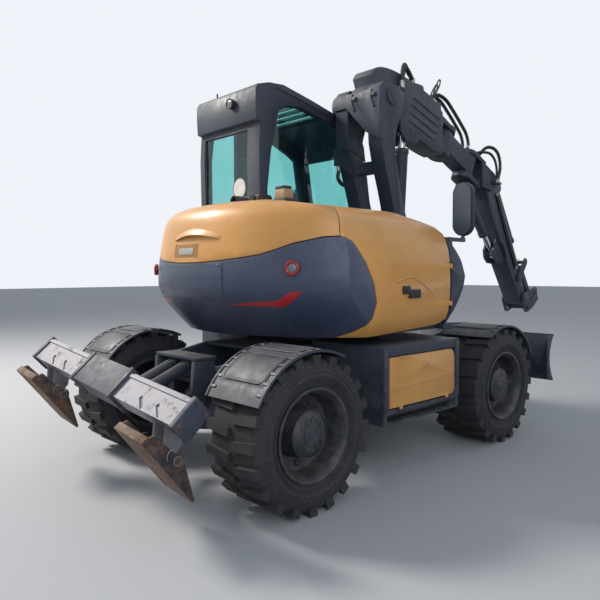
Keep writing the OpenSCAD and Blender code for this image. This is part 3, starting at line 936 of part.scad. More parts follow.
// Lamps: round ones on the tail, one under the roof's rear edge
module lamps() color("#b3261e") {
    for (s = [-1, 1]) translate([slew_x, 0, 1560]) rotate([0, 0, 180 - s*34.4]) translate([tail_r + 2.4, 0, 0]) rotate([0, 90, 0]) cylinder(d = lamp_d, h = 22, $fn = 48);
    translate([-cab_back - 46 - 28.3, cab_right + 330, cab_top - 170]) rotate([0, 90, 0]) cylinder(d = 90, h = 28, $fn = 40);
}

chassis_frame();
axles();
side_lockers();
locker_lid_right();
locker_lid_left();
knuckle_fl();
knuckle_fr();
knuckle_rl();
knuckle_rr();
rim_fl();
rim_fr();
rim_rl();
rim_rr();
tyre_fl();
tyre_fr();
tyre_rl();
tyre_rr();
blade();
blade_arms();
blade_link();
blade_barrels();
blade_rods();
stabiliser_frame();
stabiliser_beams();
stabiliser_foot_left();
stabiliser_foot_right();
stabiliser_barrels();
stabiliser_rods();
upper_frame();
counterweight();
hood();
side_door();
engine();
cab_frame();
cab_glass();
cab_door();
door_glass();
seat();
mirrors();
base_boom();
boom_barrels();
boom_rods();
mid_boom();
mid_barrel();
mid_rod();
swing_arm();
boom_head();
dipper();
dipper_barrel();
dipper_rod();
bucket_barrel();
bucket_rod();
rocker();
tie_link();
coupler();
leg_hoses();
mid_hoses();
head_hoses();
dipper_hoses();
lamps();
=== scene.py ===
# %% [markdown]
# # A wheeled excavator, from solids to a picture
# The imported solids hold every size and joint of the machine. This lesson leaves them where
# they are and adds what a solid model lacks: rounded edges that catch the light, paint with
# dust on it, rubber, bare steel, glass, hoses and small fittings.

# %% Load the frame
import json
import math
import bpy
import bmesh
from mathutils import Matrix, Vector
from mathutils.bvhtree import BVHTree


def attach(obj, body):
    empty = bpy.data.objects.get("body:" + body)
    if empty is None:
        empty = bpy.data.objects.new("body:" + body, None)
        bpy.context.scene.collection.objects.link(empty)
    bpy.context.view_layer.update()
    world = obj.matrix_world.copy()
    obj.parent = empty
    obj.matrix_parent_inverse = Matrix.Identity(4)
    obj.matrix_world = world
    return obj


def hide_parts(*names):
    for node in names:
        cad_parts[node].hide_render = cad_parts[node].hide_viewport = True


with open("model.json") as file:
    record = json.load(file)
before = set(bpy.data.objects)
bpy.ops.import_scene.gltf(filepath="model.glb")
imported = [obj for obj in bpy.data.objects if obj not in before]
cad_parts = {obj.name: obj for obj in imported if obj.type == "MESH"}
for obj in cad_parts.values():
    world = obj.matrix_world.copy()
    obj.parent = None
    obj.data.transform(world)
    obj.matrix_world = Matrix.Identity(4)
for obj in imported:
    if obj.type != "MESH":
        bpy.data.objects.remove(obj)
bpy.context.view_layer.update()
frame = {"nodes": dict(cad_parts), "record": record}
body_of_node = {n: b for b, ns in frame["record"]["behaviour"]["bodies"].items() for n in ns}
slot_of_node = {p["node"]: p["material_slot"] for p in frame["record"]["subparts"]}

# %% [markdown]
# ## The camera
# The photograph was taken from behind the machine's right rear corner, at standing height.
# A camera fitted to both wheel rims gave its place and the way it looks. Writing the three
# axes of the camera as a matrix is clearer than three turns, so it is done that way.

# %% The camera
EYE = (-3.817, -3.839, 1.529)
LEAN = math.radians(0.18)
ahead = Vector((0.6870, 0.7252, -0.0454)).normalized()
aside = ahead.cross(Vector((0.0, 0.0, 1.0))).normalized()
aside = Matrix.Rotation(LEAN, 3, ahead) @ aside
above = aside.cross(ahead)
camera_data = bpy.data.cameras.new("camera")
camera_data.lens = 36.06
camera_data.sensor_width = 36.0
camera_data.clip_end = 200.0
camera = bpy.data.objects.new("camera", camera_data)
turn = Matrix((aside, above, -ahead)).transposed().to_4x4()
camera.matrix_world = Matrix.Translation(EYE) @ turn
bpy.context.scene.collection.objects.link(camera)
bpy.context.scene.camera = camera
print("camera at", [round(v, 3) for v in camera.location])

# %% [markdown]
# ## Floor and light
# A pale studio floor runs out to a pale world. One large soft lamp stands where the sun
# stood, high behind the left of the machine, and a wide one opposite fills the shade. The world is
# dimmer as a light than where it is seen or mirrored.

# %% Floor and light
FLOOR_HALF = 60.0


def new_material(name):
    """A node material, its node tree and its Principled shader."""
    made = bpy.data.materials.new(name)
    made.use_nodes = True
    return made, made.node_tree, made.node_tree.nodes["Principled BSDF"]


def new_object(name, bm):
    """Turns a bmesh into an object that sits at the origin."""
    mesh = bpy.data.meshes.new(name)
    bm.to_mesh(mesh)
    bm.free()
    made = bpy.data.objects.new(name, mesh)
    bpy.context.scene.collection.objects.link(made)
    return made


def feed(tree, node, values):
    """Feeds inputs of a node, by name or place, with sockets or plain values."""
    for key, value in values.items():
        if isinstance(value, bpy.types.NodeSocket):
            tree.links.new(value, node.inputs[key])
        else:
            node.inputs[key].default_value = value


def add_node(tree, kind, values):
    """A new node with its inputs fed."""
    node = tree.nodes.new(kind)
    feed(tree, node, values)
    return node


def calculate(tree, how, *values):
    """The outcome of a maths node."""
    node = tree.nodes.new("ShaderNodeMath")
    node.operation = how
    feed(tree, node, dict(enumerate(values)))
    return node.outputs[0]


bpy.context.scene.view_settings.view_transform = "Standard"
floor_bm = bmesh.new()
bmesh.ops.create_grid(floor_bm, x_segments=1, y_segments=1, size=FLOOR_HALF)
floor = new_object("floor", floor_bm)
floor_paint, tree, shader = new_material("floor_paint")
feed(tree, shader, {"Base Color": (0.50, 0.51, 0.53, 1.0), "Roughness": 0.8})
floor.data.materials.append(floor_paint)

world = bpy.data.worlds.new("pale_world")
bpy.context.scene.world = world
world.use_nodes = True
sky = world.node_tree
sky.nodes.clear()
rays = sky.nodes.new("ShaderNodeLightPath").outputs
seen = calculate(sky, "MAXIMUM", rays["Is Camera Ray"], rays["Is Transmission Ray"])
shiny = calculate(sky, "MAXIMUM", seen, rays["Is Glossy Ray"])
dim = add_node(sky, "ShaderNodeBackground", {"Color": (0.80, 0.88, 1.0, 1.0), "Strength": 0.36})
bright = add_node(sky, "ShaderNodeBackground", {"Color": (0.86, 0.90, 0.95, 1.0), "Strength": 1.0})
mixed = add_node(sky, "ShaderNodeMixShader", {
    "Fac": shiny, 1: dim.outputs["Background"], 2: bright.outputs["Background"]})
add_node(sky, "ShaderNodeOutputWorld", {"Surface": mixed.outputs["Shader"]})


def lamp(name, place, target, size, power, tint):
    """A square soft lamp at place that looks at target."""
    data = bpy.data.lights.new(name, "AREA")
    data.energy = power
    data.size = size
    data.color = tint
    made = bpy.data.objects.new(name, data)
    made.location = place
    made.rotation_euler = (Vector(target) - Vector(place)).to_track_quat("-Z", "Y").to_euler()
    bpy.context.scene.collection.objects.link(made)


lamp("sun_side", (-5.0, 7.5, 8.5), (0.0, 0.0, 1.0), 2.6, 1300.0, (1.0, 0.95, 0.88))
lamp("fill_side", (-5.0, -9.0, 5.0), (0.0, 0.0, 1.2), 7.0, 330.0, (0.88, 0.94, 1.0))
print("floor, world and two lamps made")

# %% [markdown]
# ## Paint that has worked for a living
# Machine paint is never one flat colour. Dust settles on what faces up, mud splashes the
# lower parts, and fine specks break the gloss. One function builds such a paint from Object
# coordinates, so the pattern stays with the piece when it moves.

# %% A paint with dust
def mix_colour(tree, factor, first, second):
    """The outcome of a colour mix node."""
    node = tree.nodes.new("ShaderNodeMix")
    node.data_type = "RGBA"
    feed(tree, node, {0: factor, 6: first, 7: second})
    return node.outputs[2]


def multiply(tree, a, b):
    """The product of two sockets or numbers."""
    return calculate(tree, "MULTIPLY", a, b)


def ranged(tree, value, source=(0.0, 1.0), target=(0.0, 1.0)):
    """A value carried from one range to another and held inside it."""
    return add_node(tree, "ShaderNodeMapRange", {
        "Value": value, "From Min": source[0], "From Max": source[1],
        "To Min": target[0], "To Max": target[1]}).outputs["Result"]


def noise_mask(tree, coords, scale, low, high, detail=5.0, rough=0.6):
    """Noise squeezed between two levels into a mask from 0 to 1."""
    noise = add_node(tree, "ShaderNodeTexNoise", {
        "Vector": coords, "Scale": scale, "Detail": detail, "Roughness": rough})
    return ranged(tree, noise.outputs["Fac"], (low, high))


def part_of(tree, vector, axis):
    """One part of a vector."""
    return add_node(tree, "ShaderNodeSeparateXYZ", {0: vector}).outputs[axis]


def bumped(tree, height, strength, distance):
    """The normal of a surface out of which a mask stands."""
    return add_node(tree, "ShaderNodeBump", {
        "Height": height, "Strength": strength, "Distance": distance}).outputs["Normal"]


def scaled(colour, share, more=0.0):
    """A colour made darker or paler."""
    return (*(min(1.0, c * share + more) for c in colour[:3]), 1.0)


DUST = (0.30, 0.255, 0.20, 1.0)
RUST = (0.115, 0.055, 0.030, 1.0)
SPLASH_HEIGHTS = (0.35, 1.15)
SPECK_SCALE = 90.0


def worn_paint(name, colour, rough, dust_up, mud, metallic=0.0, coat=0.0, speckle=0.35, rust=0.0):
    """Paint with faded patches, dust on what faces up, mud low down, fine specks and rust."""
    made, tree, shader = new_material(name)
    where = tree.nodes.new("ShaderNodeTexCoord").outputs
    spot = where["Object"]
    tone = mix_colour(tree, noise_mask(tree, spot, 1.7, 0.35, 0.75), colour, scaled(colour, 1.25, 0.01))
    facing = ranged(tree, part_of(tree, where["Normal"], "Z"), (0.25, 0.95), (0.0, dust_up))
    settled = multiply(tree, facing, noise_mask(tree, spot, 6.0, 0.25, 0.7))
    tone = mix_colour(tree, settled, tone, DUST)
    low_down = ranged(tree, part_of(tree, spot, "Z"), SPLASH_HEIGHTS, (1.0, 0.0))
    splash = multiply(tree, low_down, noise_mask(tree, spot, 9.0, 0.45, 0.7))
    tone = mix_colour(tree, multiply(tree, splash, mud), tone, DUST)
    fine = noise_mask(tree, spot, SPECK_SCALE, 0.60, 0.72, detail=2.0)
    tone = mix_colour(tree, multiply(tree, fine, speckle * 0.25), tone, DUST)
    if rust:
        bitten = noise_mask(tree, spot, 16.0, 0.52, 0.66, detail=9.0, rough=0.72)
        tone = mix_colour(tree, multiply(tree, bitten, rust), tone, RUST)
    gloss = noise_mask(tree, spot, 14.0, 0.3, 0.8)
    grain = noise_mask(tree, spot, 160.0, 0.2, 0.9, detail=3.0)
    feed(tree, shader, {"Base Color": tone, "Metallic": metallic, "Coat Weight": coat, "Coat Roughness": 0.15,
                        "Roughness": ranged(tree, gloss, target=(rough, min(1.0, rough + 0.25))),
                        "Normal": bumped(tree, grain, 0.12, 0.002)})
    return made


PAINTS = {
    "body_paint": dict(colour=(0.60, 0.285, 0.068, 1.0), rough=0.34, dust_up=0.14, mud=0.25, coat=0.25),
    "tail_paint": dict(colour=(0.034, 0.045, 0.086, 1.0), rough=0.40, dust_up=0.12, mud=0.2, coat=0.15),
    "frame_paint": dict(colour=(0.018, 0.025, 0.044, 1.0), rough=0.45, dust_up=0.30, mud=0.25),
    "sleeve_paint": dict(colour=(0.026, 0.036, 0.066, 1.0), rough=0.5, dust_up=0.16, mud=0.15,
                         speckle=1.0, rust=0.75),
    "rim_paint": dict(colour=(0.014, 0.017, 0.025, 1.0), rough=0.42, dust_up=0.15, mud=0.28),
    "plastic": dict(colour=(0.010, 0.010, 0.012, 1.0), rough=0.5, dust_up=0.3, mud=0.4),
    "cap_steel": dict(colour=(0.035, 0.037, 0.042, 1.0), rough=0.35, dust_up=0.3, mud=0.4, metallic=0.3),
    "hub_paint": dict(colour=(0.020, 0.024, 0.034, 1.0), rough=0.38, dust_up=0.2, mud=0.25),
    "guard_paint": dict(colour=(0.046, 0.054, 0.078, 1.0), rough=0.36, dust_up=0.45, mud=0.2),
    # A darker orange, laid as a flat film in the hood's recess: painted shade.
    "painted_shade_orange": dict(colour=(0.34, 0.145, 0.030, 1.0), rough=0.45, dust_up=0.15, mud=0.2),
}
FINISH = {name: worn_paint(name, **look) for name, look in PAINTS.items()}
print("paints:", ", ".join(FINISH))

# %% [markdown]
# ## Rubber, rust, chrome, glass and cloth
# The tyres are dusty grey-brown, the stabiliser is rusty where its paint is gone and painted dark
# as shade on its sideways faces, the cylinder rods are hard chrome and the panes are tinted green.

# %% Other finishes
def tyre_rubber():
    """Matt rubber under thin dry dust with paler spots."""
    made, tree, shader = new_material("tyre_rubber")
    spot = tree.nodes.new("ShaderNodeTexCoord").outputs["Object"]
    dusty = multiply(tree, noise_mask(tree, spot, 7.0, 0.30, 0.80), 0.22)
    tone = mix_colour(tree, dusty, (0.014, 0.015, 0.018, 1.0), (0.10, 0.09, 0.08, 1.0))
    spots = multiply(tree, noise_mask(tree, spot, 55.0, 0.58, 0.70, detail=3.0), 0.2)
    tone = mix_colour(tree, spots, tone, (0.20, 0.18, 0.16, 1.0))
    feed(tree, shader, {"Base Color": tone, "Roughness": 0.78,
                        "Normal": bumped(tree, noise_mask(tree, spot, 70.0, 0.2, 0.9), 0.35, 0.004)})
    return made


def rusty_steel(name, steel, rust, share, rough, shine, side_shade=False):
    """Bare steel whose bright patches show between rust; its faces that look sideways may be painted dark
    navy as shade.
    """
    made, tree, shader = new_material(name)
    where = tree.nodes.new("ShaderNodeTexCoord").outputs
    spot = where["Object"]
    patches = noise_mask(tree, spot, 11.0, 0.66 - share * 0.42, 0.80 - share * 0.32, detail=9.0, rough=0.7)
    streaks = noise_mask(tree, spot, 38.0, 0.35, 0.75, detail=8.0)
    tone = mix_colour(tree, patches, steel, mix_colour(tree, streaks, rust, scaled(rust, 0.45)))
    if side_shade:
        # Faces that look along y are painted dark navy in noisy patches: painted shade on the side plates.
        sideways = calculate(tree, "ABSOLUTE", part_of(tree, where["Normal"], "Y"))
        left = noise_mask(tree, spot, 8.0, 0.62, 0.40, detail=9.0, rough=0.7)
        side_shade_mask = multiply(tree, ranged(tree, sideways, (0.75, 0.92)), left)
        tone = mix_colour(tree, side_shade_mask, tone, (0.020, 0.022, 0.034, 1.0))
    feed(tree, shader, {"Base Color": tone, "Metallic": ranged(tree, patches, target=(shine, 0.0)),
                        "Roughness": ranged(tree, patches, target=(rough, 0.9)),
                        "Normal": bumped(tree, streaks, 0.5, 0.004)})
    return made


def plain_finish(name, colour, rough, metallic=0.0, scale=40.0):
    """A finish whose gloss and tone vary a little."""
    made, tree, shader = new_material(name)
    spot = tree.nodes.new("ShaderNodeTexCoord").outputs["Object"]
    tone = mix_colour(tree, noise_mask(tree, spot, scale, 0.35, 0.7), colour, scaled(colour, 0.8))
    gloss = noise_mask(tree, spot, scale * 0.4, 0.3, 0.8)
    feed(tree, shader, {"Base Color": tone, "Metallic": metallic,
                        "Roughness": ranged(tree, gloss, target=(rough, min(1.0, rough + 0.15)))})
    return made


def tinted_glass():
    """Thin green pane with a clear coat of reflection."""
    made, tree, shader = new_material("tinted_glass")
    haze = noise_mask(tree, tree.nodes.new("ShaderNodeTexCoord").outputs["Object"], 3.0, 0.35, 0.8)
    tone = mix_colour(tree, haze, (0.42, 0.78, 0.76, 1.0), (0.52, 0.82, 0.81, 1.0))
    feed(tree, shader, {"Base Color": tone, "Roughness": 0.03, "Transmission Weight": 1.0, "IOR": 1.05,
                        "Coat Weight": 0.8, "Coat Roughness": 0.03})
    return made


PLAIN = {
    "chrome": dict(colour=(0.72, 0.72, 0.74, 1.0), rough=0.12, metallic=1.0),
    "seat_fabric": dict(colour=(0.030, 0.031, 0.035, 1.0), rough=0.85, scale=300.0),
    "hose_rubber": dict(colour=(0.014, 0.014, 0.016, 1.0), rough=0.42, scale=60.0),
    "lamp_red": dict(colour=(0.42, 0.020, 0.014, 1.0), rough=0.15, scale=200.0),
    "stripe_film": dict(colour=(0.45, 0.018, 0.022, 1.0), rough=0.28, scale=12.0),
    "grey_lens": dict(colour=(0.20, 0.21, 0.23, 1.0), rough=0.12, scale=90.0),
    "white_film": dict(colour=(0.78, 0.78, 0.77, 1.0), rough=0.35, scale=25.0),
    "dark_film": dict(colour=(0.012, 0.012, 0.014, 1.0), rough=0.4, scale=25.0),
    "tan_plastic": dict(colour=(0.42, 0.30, 0.18, 1.0), rough=0.55, scale=30.0),
    "zinc": dict(colour=(0.42, 0.41, 0.38, 1.0), rough=0.38, metallic=0.9, scale=60.0),
    "bright_steel": dict(colour=(0.26, 0.26, 0.28, 1.0), rough=0.42, metallic=0.6, scale=50.0),
    "mirror_glass": dict(colour=(0.10, 0.12, 0.15, 1.0), rough=0.12, scale=8.0),
    "guard_plastic": dict(colour=(0.020, 0.020, 0.022, 1.0), rough=0.35, scale=60.0),
}
FINISH.update((name, plain_finish(name, **look)) for name, look in PLAIN.items())
FINISH["tyre"] = tyre_rubber()
FINISH["glass"] = tinted_glass()
FINISH["bare_steel"] = rusty_steel("bare_steel", (0.270, 0.262, 0.290, 1.0), (0.150, 0.088, 0.052, 1.0),
                                   share=0.25, rough=0.55, shine=0.15)
# On the feet, the faces that look sideways get painted shade.
FINISH["worn_steel"] = rusty_steel("worn_steel", (0.165, 0.115, 0.085, 1.0), (0.190, 0.105, 0.062, 1.0),
                                   share=0.70, rough=0.6, shine=0.25, side_shade=True)
print("finishes:", ", ".join(FINISH))

# %% [markdown]
# ## Rounding every edge
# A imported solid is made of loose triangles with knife-sharp edges, and real plate and
# castings never have those. Each node is copied, its doubled corners are merged, flat
# regions become single faces, and a small bevel rounds what is left.

# %% Rounded copies of the solids
# Corners closer than this are one; the angles, in degrees, are what still counts as flat,
# what gets a bevel and what stays a crease in the shading.
MERGED = 0.00002
FLAT, BEVELLED, CREASED = 0.6, 32.0, 38.0
EDGE_WIDTH = 0.004


def shade(bm, angle):
    """Shades a bmesh smooth but for its sharp and open edges."""
    for face in bm.faces:
        face.smooth = True
    for edge in bm.edges:
        edge.smooth = len(edge.link_faces) == 2 and edge.calc_face_angle(0.0) < math.radians(angle)


def rounded_copy(node, width):
    """A copy of a CAD node with merged corners and rounded edges, standing for that node."""
    bm = bmesh.new()
    bm.from_mesh(frame["nodes"][node].data)
    bmesh.ops.remove_doubles(bm, verts=bm.verts[:], dist=MERGED)
    bmesh.ops.dissolve_limit(bm, angle_limit=math.radians(FLAT), verts=bm.verts[:], edges=bm.edges[:])
    if width > 0.0:
        sharp = [e for e in bm.edges
                 if len(e.link_faces) == 2 and e.calc_face_angle(0.0) > math.radians(BEVELLED)]
        bmesh.ops.bevel(bm, geom=sharp, offset=width, offset_type="OFFSET", segments=2, affect="EDGES",
                        profile=0.5, material=-1, clamp_overlap=True)
    shade(bm, CREASED)
    made = new_object(node + "_dressed", bm)
    made.data.materials.append(FINISH[slot_of_node[node]])
    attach(made, body_of_node[node])
    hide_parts(node)
    return made


def second_finish(node, finish, low, high):
    """Gives another finish to the faces of a dressed node inside a box."""
    mesh = dressed[node].data
    mesh.materials.append(FINISH[finish])
    for face in mesh.polygons:
        if all(a <= c <= b for a, c, b in zip(low, face.center, high)):
            face.material_index = len(mesh.materials) - 1


dressed = {}
for node, solid in frame["nodes"].items():
    solid.data.materials.clear()
    solid.data.materials.append(FINISH[slot_of_node[node]])
    if slot_of_node[node] in ("glass", "hose_rubber", "seat_fabric"):
        continue
    dressed[node] = rounded_copy(node, 0.0 if node.startswith("tyre") else EDGE_WIDTH)
second_finish("lamps", "plastic", (-0.60, 0.3, 2.8), (-0.40, 0.9, 3.3))
second_finish("hood", "plastic", (-0.86, -0.08, 2.094), (-0.55, 0.16, 2.30))
print(len(dressed), "nodes rounded,", sum(len(o.data.polygons) for o in dressed.values()), "faces")

# %% [markdown]
# ## Small tools for fittings
# Bolts, lamps, caps and hubs are all turned shapes, so one function spins a profile about an
# axis. Hoses, seals and weld beads are all swept shapes, so a second one carries a round
# section along a smooth line. Both add to a bmesh, so many fittings can share one object.

# %% Turned, swept and boxed pieces
def keep(piece, body, slot, finish=None):
    """Gives a new piece its finish, the slot's one when no finish is named, and its body."""
    piece.data.materials.append(FINISH[finish or slot])
    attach(piece, body)
    return piece


def join(bm, part):
    """Moves the faces of one bmesh into another."""
    mesh = bpy.data.meshes.new("part")
    part.to_mesh(mesh)
    part.free()
    bm.from_mesh(mesh)
    bpy.data.meshes.remove(mesh)


def along(place, axis):
    """The matrix that stands a piece made along Z at place, pointing along axis."""
    return Matrix.Translation(place) @ Vector(axis).to_track_quat("Z", "Y").to_matrix().to_4x4()


def turned(bm, place, axis, profile, steps=24):
    """Spins a profile of radius and height about an axis at place."""
    part = bmesh.new()
    spots = [part.verts.new((r, 0.0, h)) for r, h in profile]
    wires = [part.edges.new(pair) for pair in zip(spots, spots[1:])]
    bmesh.ops.spin(part, geom=spots + wires, cent=(0, 0, 0), axis=(0, 0, 1), angle=math.tau,
                   steps=steps, use_merge=True)
    bmesh.ops.remove_doubles(part, verts=part.verts[:], dist=0.000005)
    bmesh.ops.recalc_face_normals(part, faces=part.faces[:])
    part.transform(along(place, axis))
    join(bm, part)


def ring(bm, place, axis, radius, wire, steps=40, sides=8):
    """A closed round ring of a given wire."""
    turns = [math.tau * i / sides for i in range(sides + 1)]
    turned(bm, place, axis, [(radius + wire * math.cos(t), wire * math.sin(t)) for t in turns], steps)


def bolt(bm, place, axis, r=0.012):
    """A hexagon head on its washer."""
    turned(bm, place, axis, [(0, 0), (r * 1.5, 0), (r * 1.5, r * 0.2), (0, r * 0.2)], 20)
    turned(bm, place, axis, [(0, 0), (r, 0), (r, r * 0.75), (r * 0.8, r * 0.9), (0, r * 0.9)], 6)


def block(bm, low, high, bevel=0.006, matrix=None):
    """A box between two corners with rounded edges."""
    part = bmesh.new()
    bmesh.ops.create_cube(part, size=1.0)
    low, high = Vector(low), Vector(high)
    for v in part.verts:
        v.co = Vector(a + (b - a) * (c + 0.5) for a, b, c in zip(low, high, v.co))
    bmesh.ops.bevel(part, geom=part.edges[:], offset=bevel, offset_type="OFFSET", segments=3,
                    affect="EDGES", profile=0.5, material=-1)
    if matrix:
        part.transform(matrix)
    join(bm, part)


def smooth_route(points, steps):
    """A curve through all the points, with steps stretches between two of them."""
    knots = [Vector(p) for p in points]
    last = len(knots) - 1
    line = []
    for i in range(last):
        a, b, c, d = knots[max(i - 1, 0)], knots[i], knots[i + 1], knots[min(i + 2, last)]
        for k in range(steps):
            u = k / steps
            line.append((2 * b + (c - a) * u + (2 * a - 5 * b + 4 * c - d) * u * u
                         + (3 * b - a - 3 * c + d) * u ** 3) / 2)
    return line + [knots[-1]]


def swept(bm, line, radius, sides=3, closed=False):
    """Carries a round section along a line of points."""
    curve = bpy.data.curves.new("path", "CURVE")
    curve.dimensions = "3D"
    curve.bevel_depth = radius
    curve.bevel_resolution = sides
    curve.use_fill_caps = not closed
    spline = curve.splines.new("POLY")
    spline.points.add(len(line) - 1)
    for knot, spot in zip(spline.points, line):
        knot.co = (*spot, 1.0)
    spline.use_cyclic_u = closed
    holder = bpy.data.objects.new("path", curve)
    mesh = bpy.data.meshes.new_from_object(holder)
    part = bmesh.new()
    part.from_mesh(mesh)
    bmesh.ops.remove_doubles(part, verts=part.verts[:], dist=0.000005)
    bmesh.ops.recalc_face_normals(part, faces=part.faces[:])
    join(bm, part)
    bpy.data.objects.remove(holder)
    bpy.data.curves.remove(curve)
    bpy.data.meshes.remove(mesh)


def shaded(name, bm, angle=CREASED):
    """An object from a bmesh, smooth but for its sharp edges."""
    shade(bm, angle)
    return new_object(name, bm)


def spoke(t):
    """The way outwards at an angle in a plane along the machine."""
    return Vector((math.cos(t), 0, math.sin(t)))


print("tools ready")

# %% [markdown]
# ## Hoses
# The solids carry each hose as a straight-sided tube. Here the same routes are drawn as
# smooth ones, with crimped ends and spiral guards of plastic wound round the thick ones, as
# on the real boom.

# %% Hoses on the routes of the solids
BOOM_Y = -0.132
PIVOT_P, SWING_A, SWING_B = (2.640, 2.580), (1.800, 2.925), (2.270, 2.725)
SWING_TILT = math.atan2(SWING_A[1] - SWING_B[1], SWING_B[0] - SWING_A[0])
DIPPER_TURN = math.atan2(1.190 - 2.580, 3.500 - 2.640)


def over_head(u, v, h):
    """A point on the boom head's top plate: along it, beside the boom's middle, above it."""
    return (SWING_B[0] + u * math.cos(SWING_TILT) + h * math.sin(SWING_TILT), BOOM_Y + v,
            SWING_B[1] - u * math.sin(SWING_TILT) + h * math.cos(SWING_TILT))


def over_swing(v):
    """A hose from the middle boom over the swing to the head."""
    y = BOOM_Y + v
    return [(1.6, y, 3.3003), (1.6, y, 3.335), (1.628, y, 3.376), (1.7, y, 3.402), (1.834, y, 3.375),
            (1.97, y, 3.29), (2.12, y, 3.18), (2.24, y, 3.08), over_head(-0.08, v, 0.235),
            over_head(-0.08, v, 0.1853)]


def on_dipper(u, y, w):
    """A point of the dipper: along it, its y, square to it."""
    c, s = math.cos(DIPPER_TURN), math.sin(DIPPER_TURN)
    return (PIVOT_P[0] + u * c - w * s, y, PIVOT_P[1] + u * s + w * c)


ARCH = [(0.907, -0.278, 3.2903), (0.907, -0.278, 3.365), (0.925, -0.278, 3.445), (0.965, -0.26, 3.505),
        (1.03, -0.216, 3.546), (1.11, -0.168, 3.56), (1.2, -0.14, 3.532), (1.262, -0.132, 3.486),
        (1.275, -0.132, 3.463), (1.275, -0.132, 3.4283)]
LOOP = [(1.52, -0.2, 3.3003), (1.52, -0.2, 3.33), (1.538, -0.203, 3.37), (1.575, -0.206, 3.45),
        (1.63, -0.206, 3.53), (1.668, -0.2, 3.545), (1.676, -0.19, 3.5), (1.64, -0.18, 3.43),
        (1.59, -0.173, 3.37), (1.58, -0.172, 3.33), (1.58, -0.172, 3.3003)]
LOOP_2 = [(x + 0.045, y + 0.062, z + ((3.42 - z) * 0.2 if z > 3.331 else 0.0)) for x, y, z in LOOP]
LEG = [(0.5, 0.168, 2.5597), (0.5, 0.168, 2.5), (0.492, 0.172, 2.47), (0.505, 0.172, 2.425),
       (0.57, 0.172, 2.385), (0.65, 0.17, 2.395), (0.705, 0.168, 2.41), (0.715, 0.166, 2.385),
       (0.715, 0.166, 2.3603)]
LEG_2 = [(0.53, 0.168, 2.7203), (0.53, 0.168, 2.755), (0.542, 0.173, 2.82), (0.562, 0.182, 2.89),
         (0.585, 0.188, 2.955), (0.59, 0.188, 2.98), (0.59, 0.188, 3.0051)]
ACROSS = [(0.4617, 0.17, 2.68), (0.445, 0.17, 2.68), (0.424, 0.156, 2.68), (0.404, 0.13, 2.682),
          (0.4, 0.06, 2.684), (0.402, -0.01, 2.682), (0.42, -0.062, 2.67), (0.47, -0.078, 2.64),
          (0.545, -0.08, 2.62), (0.578, -0.08, 2.59), (0.58, -0.08, 2.575), (0.58, -0.08, 2.5603)]
HEAD = [over_head(0.11, -0.08, 0.1703), over_head(0.11, -0.08, 0.205), (2.53, -0.244, 2.95),
        (2.61, -0.28, 2.962), (2.69, -0.304, 2.915), (2.745, -0.307, 2.825), (2.755, -0.306, 2.725),
        (2.724, -0.305, 2.64), (2.722, -0.305, 2.6), (2.722, -0.305, 2.5703)]
INNER = [over_head(0.06, -0.082, 0.1703), over_head(0.06, -0.082, 0.2), (2.47, -0.25, 2.895),
         (2.55, -0.29, 2.885), (2.62, -0.308, 2.825), (2.665, -0.31, 2.74), (2.68, -0.308, 2.65),
         (2.68, -0.307, 2.6), (2.68, -0.307, 2.5703)]


def mirrored(route):
    """The same route on the other side of the boom's middle plane."""
    return [(x, 2 * BOOM_Y - y, z) for x, y, z in route]


SIDE_RUNS = [[on_dipper(u, BOOM_Y + e * 0.1213, w - k * 0.03) for u, w in
              ((0.175, 0.075), (0.33, 0.06), (0.56, 0.048), (0.85, 0.04), (1.08, 0.038), (1.2, 0.04))]
             for e in (-1, 1) for k in (0, 1)]
HOSES = {
    "leg_hoses": [(LEG, 0.032, True), (LEG_2, 0.015, False), (ACROSS, 0.015, False)],
    "mid_hoses": [(ARCH, 0.046, True), (LOOP, 0.015, False), (LOOP_2, 0.015, False),
                  (over_swing(-0.035), 0.032, True), (over_swing(0.035), 0.032, True)],
    "head_hoses": [(HEAD, 0.032, True), (INNER, 0.024, True),
                   (mirrored(HEAD), 0.032, True), (mirrored(INNER), 0.024, True)],
    "dipper_hoses": [(run, 0.022, False) for run in SIDE_RUNS],
}


COIL_STEPS = 8


def wound(line, radius, pitch):
    """The points of a coil of given radius that runs along a line."""
    spots, gone = [], 0.0
    side = Vector((0.31, 0.83, 0.47))
    for a, b in zip(line, line[1:]):
        step = b - a
        if step.length < 1e-6:
            continue
        onward = step.normalized()
        side = (side - onward * side.dot(onward)).normalized()
        other = onward.cross(side)
        count = max(1, round(step.length / pitch * COIL_STEPS))
        for k in range(count):
            t = math.tau * (gone + step.length * k / count) / pitch
            spots.append(a + step * k / count + radius * (side * math.cos(t) + other * math.sin(t)))
        gone += step.length
    return spots


lengths = {}
for node, rows in HOSES.items():
    rubber, guards, ends = bmesh.new(), bmesh.new(), bmesh.new()
    for route, diameter, guarded in rows:
        line = smooth_route(route, 6)
        run = sum((b - a).length for a, b in zip(line, line[1:]))
        lengths.setdefault(node, []).append(round(run, 2))
        swept(rubber, line, diameter / 2, sides=4)
        if guarded:
            swept(guards, wound(line[4:-4], diameter / 2 + 0.002, diameter * 0.55), 0.0032, sides=0)
        for first, second in ((line[0], line[1]), (line[-1], line[-2])):
            out = (second - first).normalized()
            r = diameter / 2
            turned(ends, first, out, [(0, 0), (r * 1.25, 0), (r * 1.25, r * 0.9), (0, r * 0.9)], 6)
            turned(ends, first, out, [(0, r * 0.9), (r * 1.12, r * 0.9), (r * 1.16, r * 1.6),
                                      (r * 1.1, r * 2.6), (r * 1.02, r * 3.0), (0, r * 3.0)], 16)
    body = body_of_node[node]
    made = keep(shaded(node + "_smooth", rubber), body, "hose_rubber")
    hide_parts(node)
    keep(shaded(node + "_ends", ends), body, "chrome", "zinc")
    if guards.verts:
        keep(shaded(node + "_guards", guards), body, "hose_rubber", "guard_plastic")
    else:
        guards.free()
print("hose lengths in m:", lengths)

